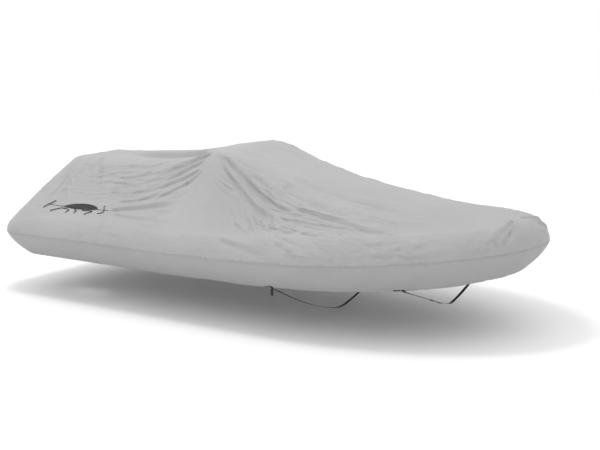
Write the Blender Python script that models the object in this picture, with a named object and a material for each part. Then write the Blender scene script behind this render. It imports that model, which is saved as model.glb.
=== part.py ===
"""Fitted cover of grey coated cloth for a six metre inflatable boat, in the shape it takes over the boat.

The crown is one sheet, held up by an aft locker, by the console's wide top edge and by the boat's
tubes. A skirt in two strips is seamed to it along the tubes' widest line and turns in below them.
Two slits let a roll bar's legs out and are laced round them. Two webbing straps pass under the hull.

Axes: +X to the bow, +Y to port, +Z up. The tables give the boat's own measures in metres: x forward
of the tubes' aft ends and z above the seam at the stern. ORIGIN then moves everything, so that the
world origin lies under the cloth, in the middle of the console's top edge.
"""

import math

import bmesh
import bpy
import numpy as np

# Plan of the seam line: straight stern, round quarters, parallel sides and a blunt bow.
STERN_X = 0.08
BOW_X = 5.865
HALF_BEAM = 1.20
QUARTER_RADIUS = 0.35
BOW_START_X = 3.358
BOW_FULLNESS = 2.24

# Cloth.
CLOTH = 0.003
SEAM_GAP = 0.0028
STRIP_GAP = 0.0005
SKIRT_TURN = 0.45

# The console's top edge, where the cloth's underside is the origin.
CONSOLE_X = 2.685
CONSOLE_TOP_Z = 0.884
ORIGIN = np.array((CONSOLE_X, 0.0, CONSOLE_TOP_Z - CLOTH))

# A row for each section, which runs from the seam line up to a point of the spine:
#   along       distance round the seam line from the middle of the stern
#   spine_x     where the section meets the spine
#   seam_z      height of the seam line
#   radius      radius of the tube under the cloth
#   ridge_z     height of the ridge, and ridge_half its distance from the spine
#   rounding    length over which the ridge is rounded, on each side of it
#   sag         how far the side hangs in between tube and ridge
#   drop        height of the skirt, and inset how far its hem is turned in
#   rise        height of the spine over the ridge
SECTION_COLUMNS = (
    "along", "spine_x", "seam_z", "radius", "ridge_z", "ridge_half", "rounding", "sag", "drop", "inset", "rise",
)
SECTIONS = (
    (0.000, 0.52, 0.000, 0.110, 0.695, 0.080, 0.05, 0.030, 0.24, 0.20, 0.010),
    (0.500, 0.53, 0.000, 0.120, 0.695, 0.110, 0.05, 0.015, 0.24, 0.21, 0.011),
    (0.850, 0.54, 0.000, 0.130, 0.695, 0.175, 0.06, -0.005, 0.24, 0.21, 0.012),
    (1.136, 0.56, 0.000, 0.140, 0.695, 0.330, 0.05, -0.015, 0.25, 0.22, 0.014),
    (1.400, 0.60, 0.000, 0.160, 0.695, 0.325, 0.06, 0.015, 0.26, 0.24, 0.016),
    (1.720, 0.76, 0.000, 0.210, 0.700, 0.320, 0.08, 0.080, 0.26, 0.24, 0.016),
    (2.100, 1.13, 0.000, 0.240, 0.717, 0.320, 0.12, 0.100, 0.26, 0.24, 0.016),
    (2.770, 1.80, 0.000, 0.250, 0.752, 0.350, 0.12, 0.095, 0.26, 0.24, 0.018),
    (3.300, 2.33, 0.000, 0.250, 0.815, 0.410, 0.10, 0.080, 0.26, 0.24, 0.020),
    (3.620, 2.65, 0.002, 0.250, 0.864, 0.455, 0.05, 0.060, 0.26, 0.24, 0.020),
    (3.690, 2.72, 0.003, 0.250, 0.862, 0.455, 0.05, 0.060, 0.26, 0.24, 0.020),
    (3.950, 2.97, 0.010, 0.250, 0.795, 0.440, 0.12, 0.080, 0.26, 0.24, 0.020),
    (4.350, 3.36, 0.012, 0.250, 0.687, 0.420, 0.20, 0.090, 0.26, 0.24, 0.020),
    (4.750, 3.74, 0.025, 0.250, 0.585, 0.400, 0.24, 0.070, 0.26, 0.24, 0.020),
    (5.200, 4.10, 0.035, 0.250, 0.515, 0.380, 0.28, 0.045, 0.26, 0.24, 0.019),
    (5.700, 4.55, 0.060, 0.238, 0.440, 0.340, 0.30, 0.025, 0.26, 0.24, 0.017),
    (6.100, 4.90, 0.090, 0.224, 0.404, 0.300, 0.30, 0.012, 0.268, 0.24, 0.015),
    (6.500, 5.15, 0.115, 0.215, 0.378, 0.240, 0.25, 0.004, 0.266, 0.25, 0.012),
    (6.850, 5.33, 0.135, 0.210, 0.362, 0.190, 0.20, 0.000, 0.255, 0.25, 0.009),
    (7.150, 5.42, 0.148, 0.206, 0.354, 0.150, 0.15, 0.000, 0.243, 0.228, 0.007),
    (7.350, 5.46, 0.153, 0.210, 0.352, 0.120, 0.12, 0.000, 0.235, 0.208, 0.006),
)

# Main folds of the crown, a row each: the ends in plan, the width of the fold and its height.
# A trough has a negative height. Starboard has y below 0.
FOLD_COLUMNS = ("from_x", "from_y", "to_x", "to_y", "width", "height")
FOLDS = (
    (2.62, -0.47, 1.55, -0.72, 0.070, -0.014),
    (2.57, -0.60, 1.47, -0.81, 0.080, 0.012),
    (2.45, -0.78, 1.56, -0.87, 0.070, -0.012),
    (2.44, -0.98, 1.69, -0.94, 0.090, 0.008),
    (2.86, -0.47, 3.72, -0.67, 0.075, -0.015),
    (2.88, -0.56, 3.72, -0.81, 0.090, 0.014),
    (2.90, -0.44, 3.75, -0.50, 0.080, 0.012),
    (3.54, -0.57, 5.01, -0.75, 0.080, -0.012),
    (3.80, -0.74, 4.45, -0.70, 0.080, 0.010),
    (3.84, -0.87, 4.40, -0.97, 0.080, -0.008),
    (5.70, -0.10, 5.66, -0.49, 0.060, 0.016),
    (5.60, -0.16, 5.57, -0.56, 0.060, -0.010),
    (0.86, -0.34, 1.16, -0.74, 0.100, 0.014),
    (0.50, -0.40, 0.52, -0.84, 0.060, 0.012),
    (2.60, 0.48, 1.50, 0.76, 0.080, -0.014),
    (2.56, 0.62, 1.62, 0.90, 0.080, 0.012),
    (2.87, 0.47, 3.80, 0.62, 0.080, -0.014),
    (2.90, 0.60, 3.66, 0.86, 0.090, 0.013),
    (3.60, 0.52, 4.90, 0.78, 0.080, -0.012),
    (0.88, 0.35, 1.20, 0.76, 0.100, 0.013),
    (5.69, 0.14, 5.62, 0.52, 0.060, 0.014),
)

# Sections are closest together along the slits. Each stretch is (where it ends, its steps).
FIRST_ALONG = 0.0
LAST_ALONG = 7.353
SLIT_START_ALONG = 1.55
SLIT_END_ALONG = 2.54
CROWN_STRETCHES = ((0.90, 6), (1.40, 5), (SLIT_START_ALONG, 1), (SLIT_END_ALONG, 18), (3.60, 8),
                   (3.72, 2), (LAST_ALONG, 28))
SKIRT_STRETCHES = ((0.90, 6), (1.40, 5), (SLIT_START_ALONG, 1), (SLIT_END_ALONG, 2), (3.60, 8),
                   (3.72, 2), (LAST_ALONG, 28))
TUBE_STEPS = 4
SIDE_SHARES = (0.17, 0.335, 0.55, 0.78, 1.0)
CORNER_STEPS = 2
TOP_STEPS = 2
SKIRT_STEPS = 3

# The slit follows one step of the side. It is laced shut at its ends and open round the bar's foot.
SLIT_STEP = TUBE_STEPS + 2
SLIT_LACED_HALF = 0.004
FOOT_START_X = 0.86
FOOT_END_X = 1.38
FOOT_BELOW = 0.018
FOOT_ABOVE = 0.075

# Lacing: a six millimetre cord. Each hole is (x, distance up the cloth from the slit).
LACE_RADIUS = 0.003
LACE_OVER = LACE_RADIUS + 0.0010
LACE_UNDER = -(CLOTH + LACE_RADIUS + 0.0012)
LACE_BEND = 0.012
LACE_SPACING = 0.032
HOLE_RADIUS = 0.0065
HOLE_DEPTH = 0.03
LOWER_HOLES = ((0.595, -0.065), (0.758, -0.110), (1.005, -0.105), (1.125, -0.095), (1.300, -0.110))
UPPER_HOLES = ((0.665, 0.060), (1.435, 0.060))

# Straps of webbing, and the tabs that are sewn along the hem where they end.
WEBBING_WIDTH = 0.030
WEBBING = 0.002
CLEARANCE = 0.0003
TAB_LENGTH = 0.095
TAB_HEIGHT = 0.028
STRAP_HANG = 0.012
TAIL_HANG = 0.070

# Each strap's route below the cover as (distance from the middle, z), from the keel outwards.
FORE_STRAP_X = 4.97
FORE_STRAP_ROUTE = ((0.00, -0.442), (0.10, -0.420), (0.20, -0.385), (0.40, -0.302))
MID_STRAP_X = 3.74
MID_STRAP_ROUTE = ((0.00, -0.628), (0.16, -0.600), (0.40, -0.520), (0.66, -0.402))
STRAP_POINTS = 18

# The wire link that joins the two lengths of the fore strap.
LINK_Y = -0.215
LINK_LENGTH = 0.110
LINK_WIDTH = 0.052
LINK_WIRE = 0.0025
LINK_CORNER = 0.008
LINK_FOLD = 0.035


def seam_plan(along):
    """Plan of the seam line on the starboard side, by distance round it from the middle of the stern."""
    inner = HALF_BEAM - QUARTER_RADIUS
    points = [(STERN_X, -y) for y in np.linspace(0, inner, 20)]
    for turn in np.linspace(0, math.pi / 2, 40):
        points.append((
            STERN_X + QUARTER_RADIUS * (1 - math.cos(turn)),
            -inner - QUARTER_RADIUS * math.sin(turn),
        ))
    for turn in np.linspace(0, math.pi / 2, 300):
        points.append((
            BOW_START_X + (BOW_X - BOW_START_X) * math.sin(turn) ** (2 / BOW_FULLNESS),
            -HALF_BEAM * math.cos(turn),
        ))
    line = np.array(points)
    length = np.concatenate([[0], np.cumsum(np.hypot(*np.diff(line, axis=0).T))])
    return np.stack([np.interp(along, length, line[:, axis]) for axis in (0, 1)], -1)


def between_rows(column, along):
    """A column of SECTIONS at each distance along, on a smooth curve that never overshoots its rows."""
    table = np.array(SECTIONS)
    at = table[:, 0]
    value = table[:, SECTION_COLUMNS.index(column)]
    step = np.diff(at)
    slope = np.diff(value) / step
    same_way = slope[:-1] * slope[1:] > 0
    total = np.where(same_way, slope[:-1] + slope[1:], 1.0)
    inner = np.where(same_way, 2 * slope[:-1] * slope[1:] / total, 0.0)
    tangent = np.concatenate([[slope[0]], inner, [slope[-1]]])
    row = np.clip(np.searchsorted(at, along, side="right") - 1, 0, len(step) - 1)
    t = (along - at[row]) / step[row]
    return (
        value[row] * (1 + 2 * t) * (1 - t) ** 2
        + tangent[row] * step[row] * t * (1 - t) ** 2
        + value[row + 1] * t**2 * (3 - 2 * t)
        + tangent[row + 1] * step[row] * t**2 * (t - 1)
    )


def section_line(reach, radius, seam_z, ridge_z, half, rounding, sag, rise):
    """One section in its own plane, as (distance in from the seam, z).

    The cloth follows the tube, leaves it where a straight line to the ridge touches it, hangs in a
    little on the way up, rounds the ridge and crosses level to the spine.
    """
    ridge = np.array([reach - half, ridge_z])
    centre = np.array([radius, seam_z])
    to_ridge = ridge - centre
    leaving = math.atan2(to_ridge[1], to_ridge[0]) + math.acos(min(radius / np.hypot(*to_ridge), 1))
    angle = np.linspace(math.pi, leaving, TUBE_STEPS + 1)
    tube = centre + radius * np.stack([np.cos(angle), np.sin(angle)], -1)
    climb = ridge - tube[-1]
    height = np.hypot(*climb)
    side_end = ridge - min(rounding / height, 0.45) * climb
    share = np.array(SIDE_SHARES)[:, None]
    side = tube[-1] + share * (side_end - tube[-1])
    side[:, 1] -= sag * np.sin(math.pi * share[:, 0])
    spine = np.array([reach, ridge_z + rise])
    across = (spine - ridge) / np.hypot(*(spine - ridge))
    corner_end = ridge + min(rounding, 0.9 * half) * across
    t = np.linspace(0, 1, CORNER_STEPS + 1)[1:, None]
    corner = (1 - t) ** 2 * side_end + 2 * t * (1 - t) * ridge + t**2 * corner_end
    s = np.linspace(0, 1, TOP_STEPS + 1)[1:, None]
    return np.concatenate([tube, side, corner, corner_end + s * (spine - corner_end)])


def crown_grid(along):
    """The starboard half of the crown without its folds, as [section, step up, xyz]."""
    plan = seam_plan(along)
    row = {column: between_rows(column, along) for column in SECTION_COLUMNS}
    sections = []
    for k, edge in enumerate(plan):
        spine = np.array([row["spine_x"][k], 0.0])
        reach = np.hypot(*(spine - edge))
        line = section_line(
            reach, row["radius"][k], row["seam_z"][k], row["ridge_z"][k],
            row["ridge_half"][k], row["rounding"][k], row["sag"][k], row["rise"][k],
        )
        in_plan = edge + line[:, :1] * (spine - edge) / reach
        sections.append(np.column_stack([in_plan, line[:, 1]]))
    return np.array(sections)


def skirt_grid(along):
    """The starboard skirt, as [section, step down, xyz], curving in from the seam to the hem."""
    plan = seam_plan(along)
    around = seam_plan(along + 0.01) - seam_plan(along - 0.01)
    around /= np.hypot(*around.T)[:, None]
    inward = np.stack([-around[:, 1], around[:, 0]], -1)
    inward[np.abs(plan[:, 1]) < 0.01, 1] = 0
    down = np.linspace(0, 1, SKIRT_STEPS + 1)
    inset = between_rows("inset", along)[:, None] * (SKIRT_TURN * down + (1 - SKIRT_TURN) * down**2)
    in_plan = plan[:, None] + inset[..., None] * inward[:, None]
    z = between_rows("seam_z", along)[:, None] - between_rows("drop", along)[:, None] * down
    return np.concatenate([in_plan, z[..., None]], -1)


def grid_normals(grid):
    """Outward unit normals of a starboard grid."""
    around = np.gradient(grid, axis=0)
    up = np.gradient(grid, axis=1)
    normal = np.cross(around, up)
    return normal / np.linalg.norm(normal, axis=-1, keepdims=True)


def mirrored(points):
    return points * np.array([1, -1, 1])


def crown_side(along, port):
    """One side of the crown with its main folds, each a soft ridge or trough that fades at its ends."""
    grid = crown_grid(along)
    normal = grid_normals(grid)
    if port:
        grid = mirrored(grid)
        normal = mirrored(normal)
    moved = np.zeros(grid.shape[:2])
    for from_x, from_y, to_x, to_y, width, height in FOLDS:
        if (from_y > 0) != port:
            continue
        start = np.array([from_x, from_y])
        run = np.array([to_x - from_x, to_y - from_y])
        length = np.hypot(*run)
        across = np.array([-run[1], run[0]]) / length
        away = grid[..., :2] - start
        share = (away @ run) / length**2
        slope = (normal[..., :2] @ across) / np.maximum(normal[..., 2], 0.25)
        distance = (away @ across) * np.sqrt(1 + slope**2)
        fade = np.clip(np.minimum(share, 1 - share) / 0.25, 0, 1)
        moved += height * fade * fade * (3 - 2 * fade) * np.exp(-((distance / width) ** 2))
    moved *= np.clip(np.arange(grid.shape[1]) / 2, 0, 1)
    moved *= np.clip(np.abs(grid[..., 1]) / 0.05, 0, 1)
    return grid + moved[..., None] * normal


def new_material(name, colour, roughness, metallic=0.0):
    material = bpy.data.materials.new(name)
    material.use_nodes = True
    shader = material.node_tree.nodes["Principled BSDF"]
    shader.inputs["Base Color"].default_value = (*colour, 1)
    shader.inputs["Roughness"].default_value = roughness
    shader.inputs["Metallic"].default_value = metallic
    return material


def add_object(name, points, faces, material):
    """An object from points in the boat's measures, moved so that ORIGIN is the world's origin."""
    mesh = bpy.data.meshes.new(name)
    mesh.from_pydata([tuple(point) for point in np.asarray(points) - ORIGIN], [], faces)
    mesh.materials.append(material)
    mesh.validate()
    thing = bpy.data.objects.new(name, mesh)
    bpy.context.scene.collection.objects.link(thing)
    return thing


def grid_faces(rows, columns, first=0, turned=False):
    """Quads of a grid of points stored row by row."""
    faces = []
    for i in range(rows - 1):
        for j in range(columns - 1):
            a = first + i * columns + j
            quad = (a, a + columns, a + columns + 1, a + 1)
            faces.append(quad[::-1] if turned else quad)
    return faces


def merge_and_thicken(thing):
    """Joins the points that two patches share, then gives the sheet its thickness on the inside."""
    shape = bmesh.new()
    shape.from_mesh(thing.data)
    bmesh.ops.remove_doubles(shape, verts=shape.verts, dist=0.00002)
    shape.to_mesh(thing.data)
    shape.free()
    solidify = thing.modifiers.new("Cloth", "SOLIDIFY")
    solidify.thickness = CLOTH
    solidify.offset = -1
    thing.data.shade_smooth()


def section_positions(stretches):
    positions = [FIRST_ALONG]
    for end, steps in stretches:
        positions.extend(np.linspace(positions[-1], end, steps + 1)[1:])
    return np.array(positions)


def slit_lips(along, grid):
    """How far the cloth is drawn back below and above the slit, at each section."""
    x = grid[:, SLIT_STEP, 0]
    inside = (along > SLIT_START_ALONG + 1e-6) & (along < SLIT_END_ALONG - 1e-6)
    foot = np.clip((x - FOOT_START_X) / (FOOT_END_X - FOOT_START_X), 0, 1)
    bulge = np.sin(math.pi * foot) ** 0.6
    below = np.where(inside, SLIT_LACED_HALF + FOOT_BELOW * bulge, 0)
    above = np.where(inside, SLIT_LACED_HALF + FOOT_ABOVE * bulge, 0)
    return below, above


def drawn_back(grid, step, towards, distance):
    """The grid with one step's points moved towards a neighbouring step by a distance."""
    moved = grid.copy()
    way = grid[:, towards] - grid[:, step]
    way /= np.linalg.norm(way, axis=-1, keepdims=True)
    moved[:, step] += way * distance[:, None]
    return moved


def make_crown(material):
    """The crown in one sheet: both sides, below and above the slit, joined on the centre line."""
    along = section_positions(CROWN_STRETCHES)
    points = []
    faces = []
    for port in (False, True):
        side = crown_side(along, port)
        side[:, 0, 2] += SEAM_GAP
        below, above = slit_lips(along, side)
        lower = drawn_back(side, SLIT_STEP, SLIT_STEP - 1, below)[:, : SLIT_STEP + 1]
        upper = drawn_back(side, SLIT_STEP, SLIT_STEP + 1, above)[:, SLIT_STEP:]
        for patch in (lower, upper):
            faces += grid_faces(*patch.shape[:2], first=len(points), turned=port)
            points.extend(patch.reshape(-1, 3))
    crown = add_object("crown", points, faces, material)
    merge_and_thicken(crown)
    cut_holes(crown)
    return crown


def cloth_place(x, up, lift, port):
    """A point near the slit: x along it, distance up the cloth from it, and height over the cloth."""
    round_quarter = HALF_BEAM - QUARTER_RADIUS + QUARTER_RADIUS * math.pi / 2
    along = round_quarter + x - STERN_X - QUARTER_RADIUS
    step = 0.02
    grid = crown_side(np.array([along - step, along, along + step]), port)
    line = grid[1]
    length = np.concatenate([[0], np.cumsum(np.linalg.norm(np.diff(line, axis=0), axis=1))])
    at = length[SLIT_STEP] + up
    point = np.array([np.interp(at, length, line[:, axis]) for axis in range(3)])
    ahead = np.array([np.interp(at + step, length, line[:, axis]) for axis in range(3)])
    behind = np.array([np.interp(at - step, length, line[:, axis]) for axis in range(3)])
    normal = np.cross(grid[2, SLIT_STEP] - grid[0, SLIT_STEP], ahead - behind)
    normal *= math.copysign(1, normal[2])
    return point + lift * normal / np.linalg.norm(normal)


def cut_holes(crown):
    """Cuts the lacing holes of both slits with one hidden cutter of eight-sided pins."""
    points = []
    faces = []
    sides = 8
    for port in (False, True):
        for x, up in LOWER_HOLES + UPPER_HOLES:
            top = cloth_place(x, up, HOLE_DEPTH / 2, port)
            bottom = cloth_place(x, up, -HOLE_DEPTH / 2, port)
            axis = (top - bottom) / np.linalg.norm(top - bottom)
            first = np.cross(axis, (1, 0, 0))
            first /= np.linalg.norm(first)
            second = np.cross(axis, first)
            start = len(points)
            for end in (bottom, top):
                for turn in np.arange(sides) * 2 * math.pi / sides:
                    points.append(end + HOLE_RADIUS * (math.cos(turn) * first + math.sin(turn) * second))
            faces.append(tuple(start + k for k in reversed(range(sides))))
            faces.append(tuple(start + sides + k for k in range(sides)))
            for k in range(sides):
                after = (k + 1) % sides
                faces.append((start + k, start + after, start + sides + after, start + sides + k))
    cutter = add_object("hole_cutter", points, faces, crown.data.materials[0])
    cutter.hide_render = True
    cutter.display_type = "WIRE"
    holes = crown.modifiers.new("Lacing holes", "BOOLEAN")
    holes.operation = "DIFFERENCE"
    holes.solver = "EXACT"
    holes.object = cutter


def make_skirt(name, port, material):
    """One strip of the skirt, from the seam down to the hem and from the stern to the stem."""
    grid = skirt_grid(section_positions(SKIRT_STRETCHES))
    grid[0, :, 1] = -STRIP_GAP
    grid[-1, :, 1] = -STRIP_GAP
    grid = mirrored(grid) if port else grid
    skirt = add_object(name, grid.reshape(-1, 3), grid_faces(*grid.shape[:2], turned=not port), material)
    merge_and_thicken(skirt)
    return skirt


def smooth_curve(knots, pieces):
    """Points on a smooth curve through the knots, with a number of pieces between each two of them."""
    knots = np.array(knots, float)
    ends = np.vstack([2 * knots[0] - knots[1], knots, 2 * knots[-1] - knots[-2]])
    points = []
    for before, start, end, after, count in zip(ends, ends[1:], ends[2:], ends[3:], pieces):
        for t in np.arange(count) / count:
            points.append(0.5 * (
                2 * start
                + (end - before) * t
                + (2 * before - 5 * start + 4 * end - after) * t**2
                + (3 * start - before - 3 * end + after) * t**3
            ))
    points.append(knots[-1])
    return np.array(points)


def smooth_route(knots, count):
    """A number of points at even distances along a smooth curve through the knots."""
    fine = smooth_curve(knots, [24] * (len(knots) - 1))
    length = np.concatenate([[0], np.cumsum(np.linalg.norm(np.diff(fine, axis=0), axis=1))])
    even = np.linspace(0, length[-1], count)
    return np.stack([np.interp(even, length, fine[:, axis]) for axis in range(fine.shape[1])], -1)


def through_hole(before, hole, after, upwards):
    """Knots that bring the lace square through a hole, from the side of one knot to that of the next."""
    knots = []
    for place, sign in ((before, -1), (after, 1)):
        lift = 0.0075 if (sign > 0) == upwards else -0.0105
        step = np.array(place[:2]) - np.array(hole)
        step *= LACE_BEND / np.hypot(*step)
        bend = (hole[0] + step[0], hole[1] + step[1], lift)
        square = (hole[0], hole[1], 0.0025 if lift > 0 else -0.0055)
        knots += [bend, square] if sign < 0 else [square, bend]
    return knots


def lace_knots(port):
    """The lace's route by the cloth: up at each lower hole, over the slit, down and back beneath it."""
    over, under = LACE_OVER, LACE_UNDER - 0.002
    hole1, hole2, hole3, hole4, hole5 = LOWER_HOLES
    hole6, hole7 = UPPER_HOLES
    lip = -FOOT_BELOW - SLIT_LACED_HALF
    x1, x2, x3, x4, x5, x6, x7 = (hole[0] for hole in LOWER_HOLES + UPPER_HOLES)
    stops = (
        ((x1 - 0.060, -0.055, under), (x1 - 0.035, -0.062, under)), (hole1, True),
        ((x1 + 0.035, 0.0, over + 0.003),), (hole6, False),
        ((x6 + 0.045, -0.020, under),), (hole2, True),
        ((x2 + 0.040, -0.070, over), (x2 + 0.100, lip - 0.014, over), (x3 - 0.060, lip - 0.014, over),
         (x3 - 0.005, lip - 0.034, over)), (hole3, False),
        ((x3 + 0.035, lip - 0.014, under), (x3 + 0.045, lip + 0.008, under),
         (x3 + 0.050, lip + 0.016, -0.0015), (x3 + 0.057, lip + 0.008, over + 0.001),
         (x3 + 0.066, lip - 0.014, over), (x4 - 0.010, lip - 0.030, over)), (hole4, False),
        ((x4 + 0.035, lip - 0.014, under), (x4 + 0.045, lip + 0.008, under),
         (x4 + 0.050, lip + 0.016, -0.0015), (x4 + 0.057, lip + 0.008, over + 0.001),
         (x4 + 0.066, lip - 0.014, over), (x5 - 0.040, lip - 0.014, over),
         (x5 + 0.040, lip - 0.018, over), (x5 + 0.045, -0.060, over + 0.001)), (hole5, False),
        ((x5 + 0.060, -0.040, under), (x5 + 0.105, 0.020, under)), (hole7, True),
        ((x7 + 0.045, 0.010, over + 0.002), (x7 + 0.075, -0.024, over), (x7 + 0.085, -0.046, over + 0.003),
         (x7 + 0.066, -0.062, over), (x7 + 0.030, -0.074, over)),
    )
    knots = list(stops[0])
    for (hole, upwards), after in zip(stops[1::2], stops[2::2]):
        knots += through_hole(knots[-1], hole, after[0], upwards)
        knots += after
    return [cloth_place(x, up, lift, port) for x, up, lift in knots]


def make_lace(name, port, material):
    curve = bpy.data.curves.new(name, "CURVE")
    curve.dimensions = "3D"
    curve.bevel_depth = LACE_RADIUS
    curve.bevel_resolution = 2
    curve.use_fill_caps = True
    knots = lace_knots(port)
    spans = np.linalg.norm(np.diff(knots, axis=0), axis=1)
    points = smooth_curve(knots, np.ceil(spans / LACE_SPACING).astype(int)) - ORIGIN
    spline = curve.splines.new("POLY")
    spline.points.add(len(points) - 1)
    for place, point in zip(spline.points, points):
        place.co = (*point, 1)
    curve.materials.append(material)
    lace = bpy.data.objects.new(name, curve)
    bpy.context.scene.collection.objects.link(lace)
    return lace


def hem_line(x, port):
    """The skirt's last stretch at x, as (its upper point, its hem point, its outward direction)."""
    along = np.linspace(SLIT_START_ALONG, LAST_ALONG, 400)
    plan = seam_plan(along)
    first = np.interp(x, plan[:, 0], along)
    for _ in range(12):
        hem = skirt_grid(np.array([first]))[0, -1]
        first += x - hem[0]
    grid = skirt_grid(np.array([first - 0.02, first, first + 0.02]))
    upper = grid[1, -2]
    hem = grid[1, -1]
    around = grid[2, -1] - grid[0, -1]
    outward = np.cross(hem - upper, around)
    outward /= np.linalg.norm(outward)
    if port:
        return mirrored(upper), mirrored(hem), mirrored(outward)
    return upper, hem, outward


def make_tab(name, x, port, material):
    """A length of webbing sewn flat along the hem, ending where the strap leaves it."""
    points = []
    stations = np.linspace(x - TAB_LENGTH + WEBBING_WIDTH / 2, x + WEBBING_WIDTH / 2 + 0.002, 5)
    for station in stations:
        upper, hem, outward = hem_line(station, port)
        climb = (upper - hem) / np.linalg.norm(upper - hem)
        low = hem + 0.002 * climb
        high = low + TAB_HEIGHT * climb
        for end in (low, high):
            points.append(end + CLEARANCE * outward)
            points.append(end + (CLEARANCE + WEBBING) * outward)
    faces = [(0, 1, 3, 2), tuple(len(points) - 4 + k for k in (0, 2, 3, 1))]
    for k in range(0, len(points) - 4, 4):
        for a, b in ((0, 1), (1, 3), (3, 2), (2, 0)):
            faces.append((k + a, k + 4 + a, k + 4 + b, k + b))
    tab = add_object(name, points, faces, material)
    outward_faces(tab)
    return tab


def outward_faces(thing):
    shape = bmesh.new()
    shape.from_mesh(thing.data)
    bmesh.ops.recalc_face_normals(shape, faces=shape.faces)
    shape.to_mesh(thing.data)
    shape.free()


def make_strip(name, places, widths, material):
    """A flat length of webbing through the places, with the direction of its width at each."""
    places = np.array(places)
    widths = np.array(widths)
    way = np.gradient(places, axis=0)
    normal = np.cross(way, widths)
    normal *= WEBBING / 2 / np.linalg.norm(normal, axis=1, keepdims=True)
    widths *= WEBBING_WIDTH / 2 / np.linalg.norm(widths, axis=1, keepdims=True)
    corners = [places - widths - normal, places - widths + normal, places + widths + normal,
               places + widths - normal]
    points = np.stack(corners, 1).reshape(-1, 3)
    faces = [(0, 1, 2, 3), tuple(len(points) - 1 - k for k in range(4))]
    for k in range(0, len(points) - 4, 4):
        for a in range(4):
            b = (a + 1) % 4
            faces.append((k + a, k + 4 + a, k + 4 + b, k + b))
    strip = add_object(name, points, faces, material)
    outward_faces(strip)
    return strip


def strap_end(x, port, tail):
    """Where a strap is sewn over its tab: from its free tail, if it has one, down to below the hem."""
    upper, hem, outward = hem_line(x, port)
    climb = (upper - hem) / np.linalg.norm(upper - hem)
    layer = WEBBING + CLEARANCE
    inner = layer + CLEARANCE + WEBBING / 2
    below = hem - STRAP_HANG * climb
    run = [hem + (0.002 + TAB_HEIGHT) * climb, hem + 0.4 * TAB_HEIGHT * climb, hem, below]
    points = [place + inner * outward for place in run]
    if tail:
        outer = inner + layer
        top = run[0] + (inner + layer / 2) * outward
        turn = [
            top + layer / 2 * (math.cos(a) * outward + math.sin(a) * climb)
            for a in np.linspace(0, math.pi, 7)
        ]
        hang = hem + outer * outward
        aside = 0.004 if port else -0.004
        drop = [hang + np.array([0, aside, -share * TAIL_HANG]) for share in (1, 0.65, 0.3)]
        points = drop + [hang - 0.006 * climb] + turn + points[1:]
    width = np.cross(outward, climb)
    return np.array(points), width * math.copysign(1, width[0])


def under_hull(x, route, port):
    """The places of a strap's route on one side, from near the keel out to below the hem."""
    side = 1 if port else -1
    return [np.array([x, side * away, z]) for away, z in route[1:]]


def turned_widths(end, middle_count, width):
    """Width directions of a strap's end, then of its run inwards, which turns until it is along X."""
    share = np.clip(np.arange(1, middle_count + 1) / 8, 0, 1)[:, None]
    return np.concatenate([np.tile(width, (end, 1)), width + share * (np.array([1, 0, 0]) - width)])


def make_mid_strap(material):
    """The strap amidships, with a free tail on the starboard side."""
    x = MID_STRAP_X
    starboard, starboard_width = strap_end(x, False, tail=True)
    port, port_width = strap_end(x, True, tail=False)
    knots = (
        [starboard[-1]] + under_hull(x, MID_STRAP_ROUTE, False)[::-1]
        + [np.array([x, 0, MID_STRAP_ROUTE[0][1]])]
        + under_hull(x, MID_STRAP_ROUTE, True) + [port[-1]]
    )
    middle = smooth_route(knots, 2 * STRAP_POINTS + 1)
    places = np.concatenate([starboard[:-1], middle, port[-2::-1]])
    half = STRAP_POINTS + 1
    widths = np.concatenate([
        turned_widths(len(starboard), half - 1, starboard_width),
        turned_widths(len(port), half - 2, port_width)[::-1],
    ])
    return make_strip("strap_mid", places, widths, material)


def link_frame():
    """The link's middle and the direction of the fore strap there, towards the keel."""
    route = np.array([(-away, z) for away, z in FORE_STRAP_ROUTE[::-1]])
    ends = LINK_Y + np.array([-0.5, 0.5]) * LINK_LENGTH
    z = np.interp(ends, route[:, 0], route[:, 1])
    way = np.array([0, ends[1] - ends[0], z[1] - z[0]])
    return np.array([FORE_STRAP_X, LINK_Y, z.mean()]), way / np.linalg.norm(way)


def round_bar(bar, way):
    """A strap's end wrapped round one bar of the link and folded back below itself."""
    up = np.array([0, -way[2], way[1]])
    up *= math.copysign(1, up[2])
    reach = LINK_WIRE + CLEARANCE + WEBBING / 2
    wrap = [bar + reach * (math.cos(a) * up + math.sin(a) * way) for a in np.linspace(0, math.pi, 9)]
    lead = bar - 0.5 * LINK_FOLD * way + reach * up
    tail = [bar - 0.5 * LINK_FOLD * way - reach * up, bar - LINK_FOLD * way - reach * up]
    return np.array([lead] + wrap + tail)


def make_fore_strap(material):
    """The fore strap in two lengths, each folded round a bar of the wire link."""
    middle, way = link_frame()
    x = FORE_STRAP_X
    for name, port, bar, towards in (
        ("strap_fore_starboard", False, middle - LINK_LENGTH / 2 * way, way),
        ("strap_fore_port", True, middle + LINK_LENGTH / 2 * way, -way),
    ):
        end, width = strap_end(x, port, tail=False)
        wrap = round_bar(bar, towards)
        places = under_hull(x, FORE_STRAP_ROUTE, port)[::-1]
        if port:
            places.append(np.array([x, 0, FORE_STRAP_ROUTE[0][1]]))
        else:
            places = [place for place in places if place[1] < bar[1] - 0.06]
        middle_run = smooth_route([end[-1]] + places + [wrap[0]], STRAP_POINTS)
        route = np.concatenate([end[:-1], middle_run, wrap[1:]])
        widths = turned_widths(len(end) - 1, STRAP_POINTS, width)
        widths = np.concatenate([widths, np.tile([1.0, 0, 0], (len(wrap) - 1, 1))])
        make_strip(name, route, widths, material)


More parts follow.
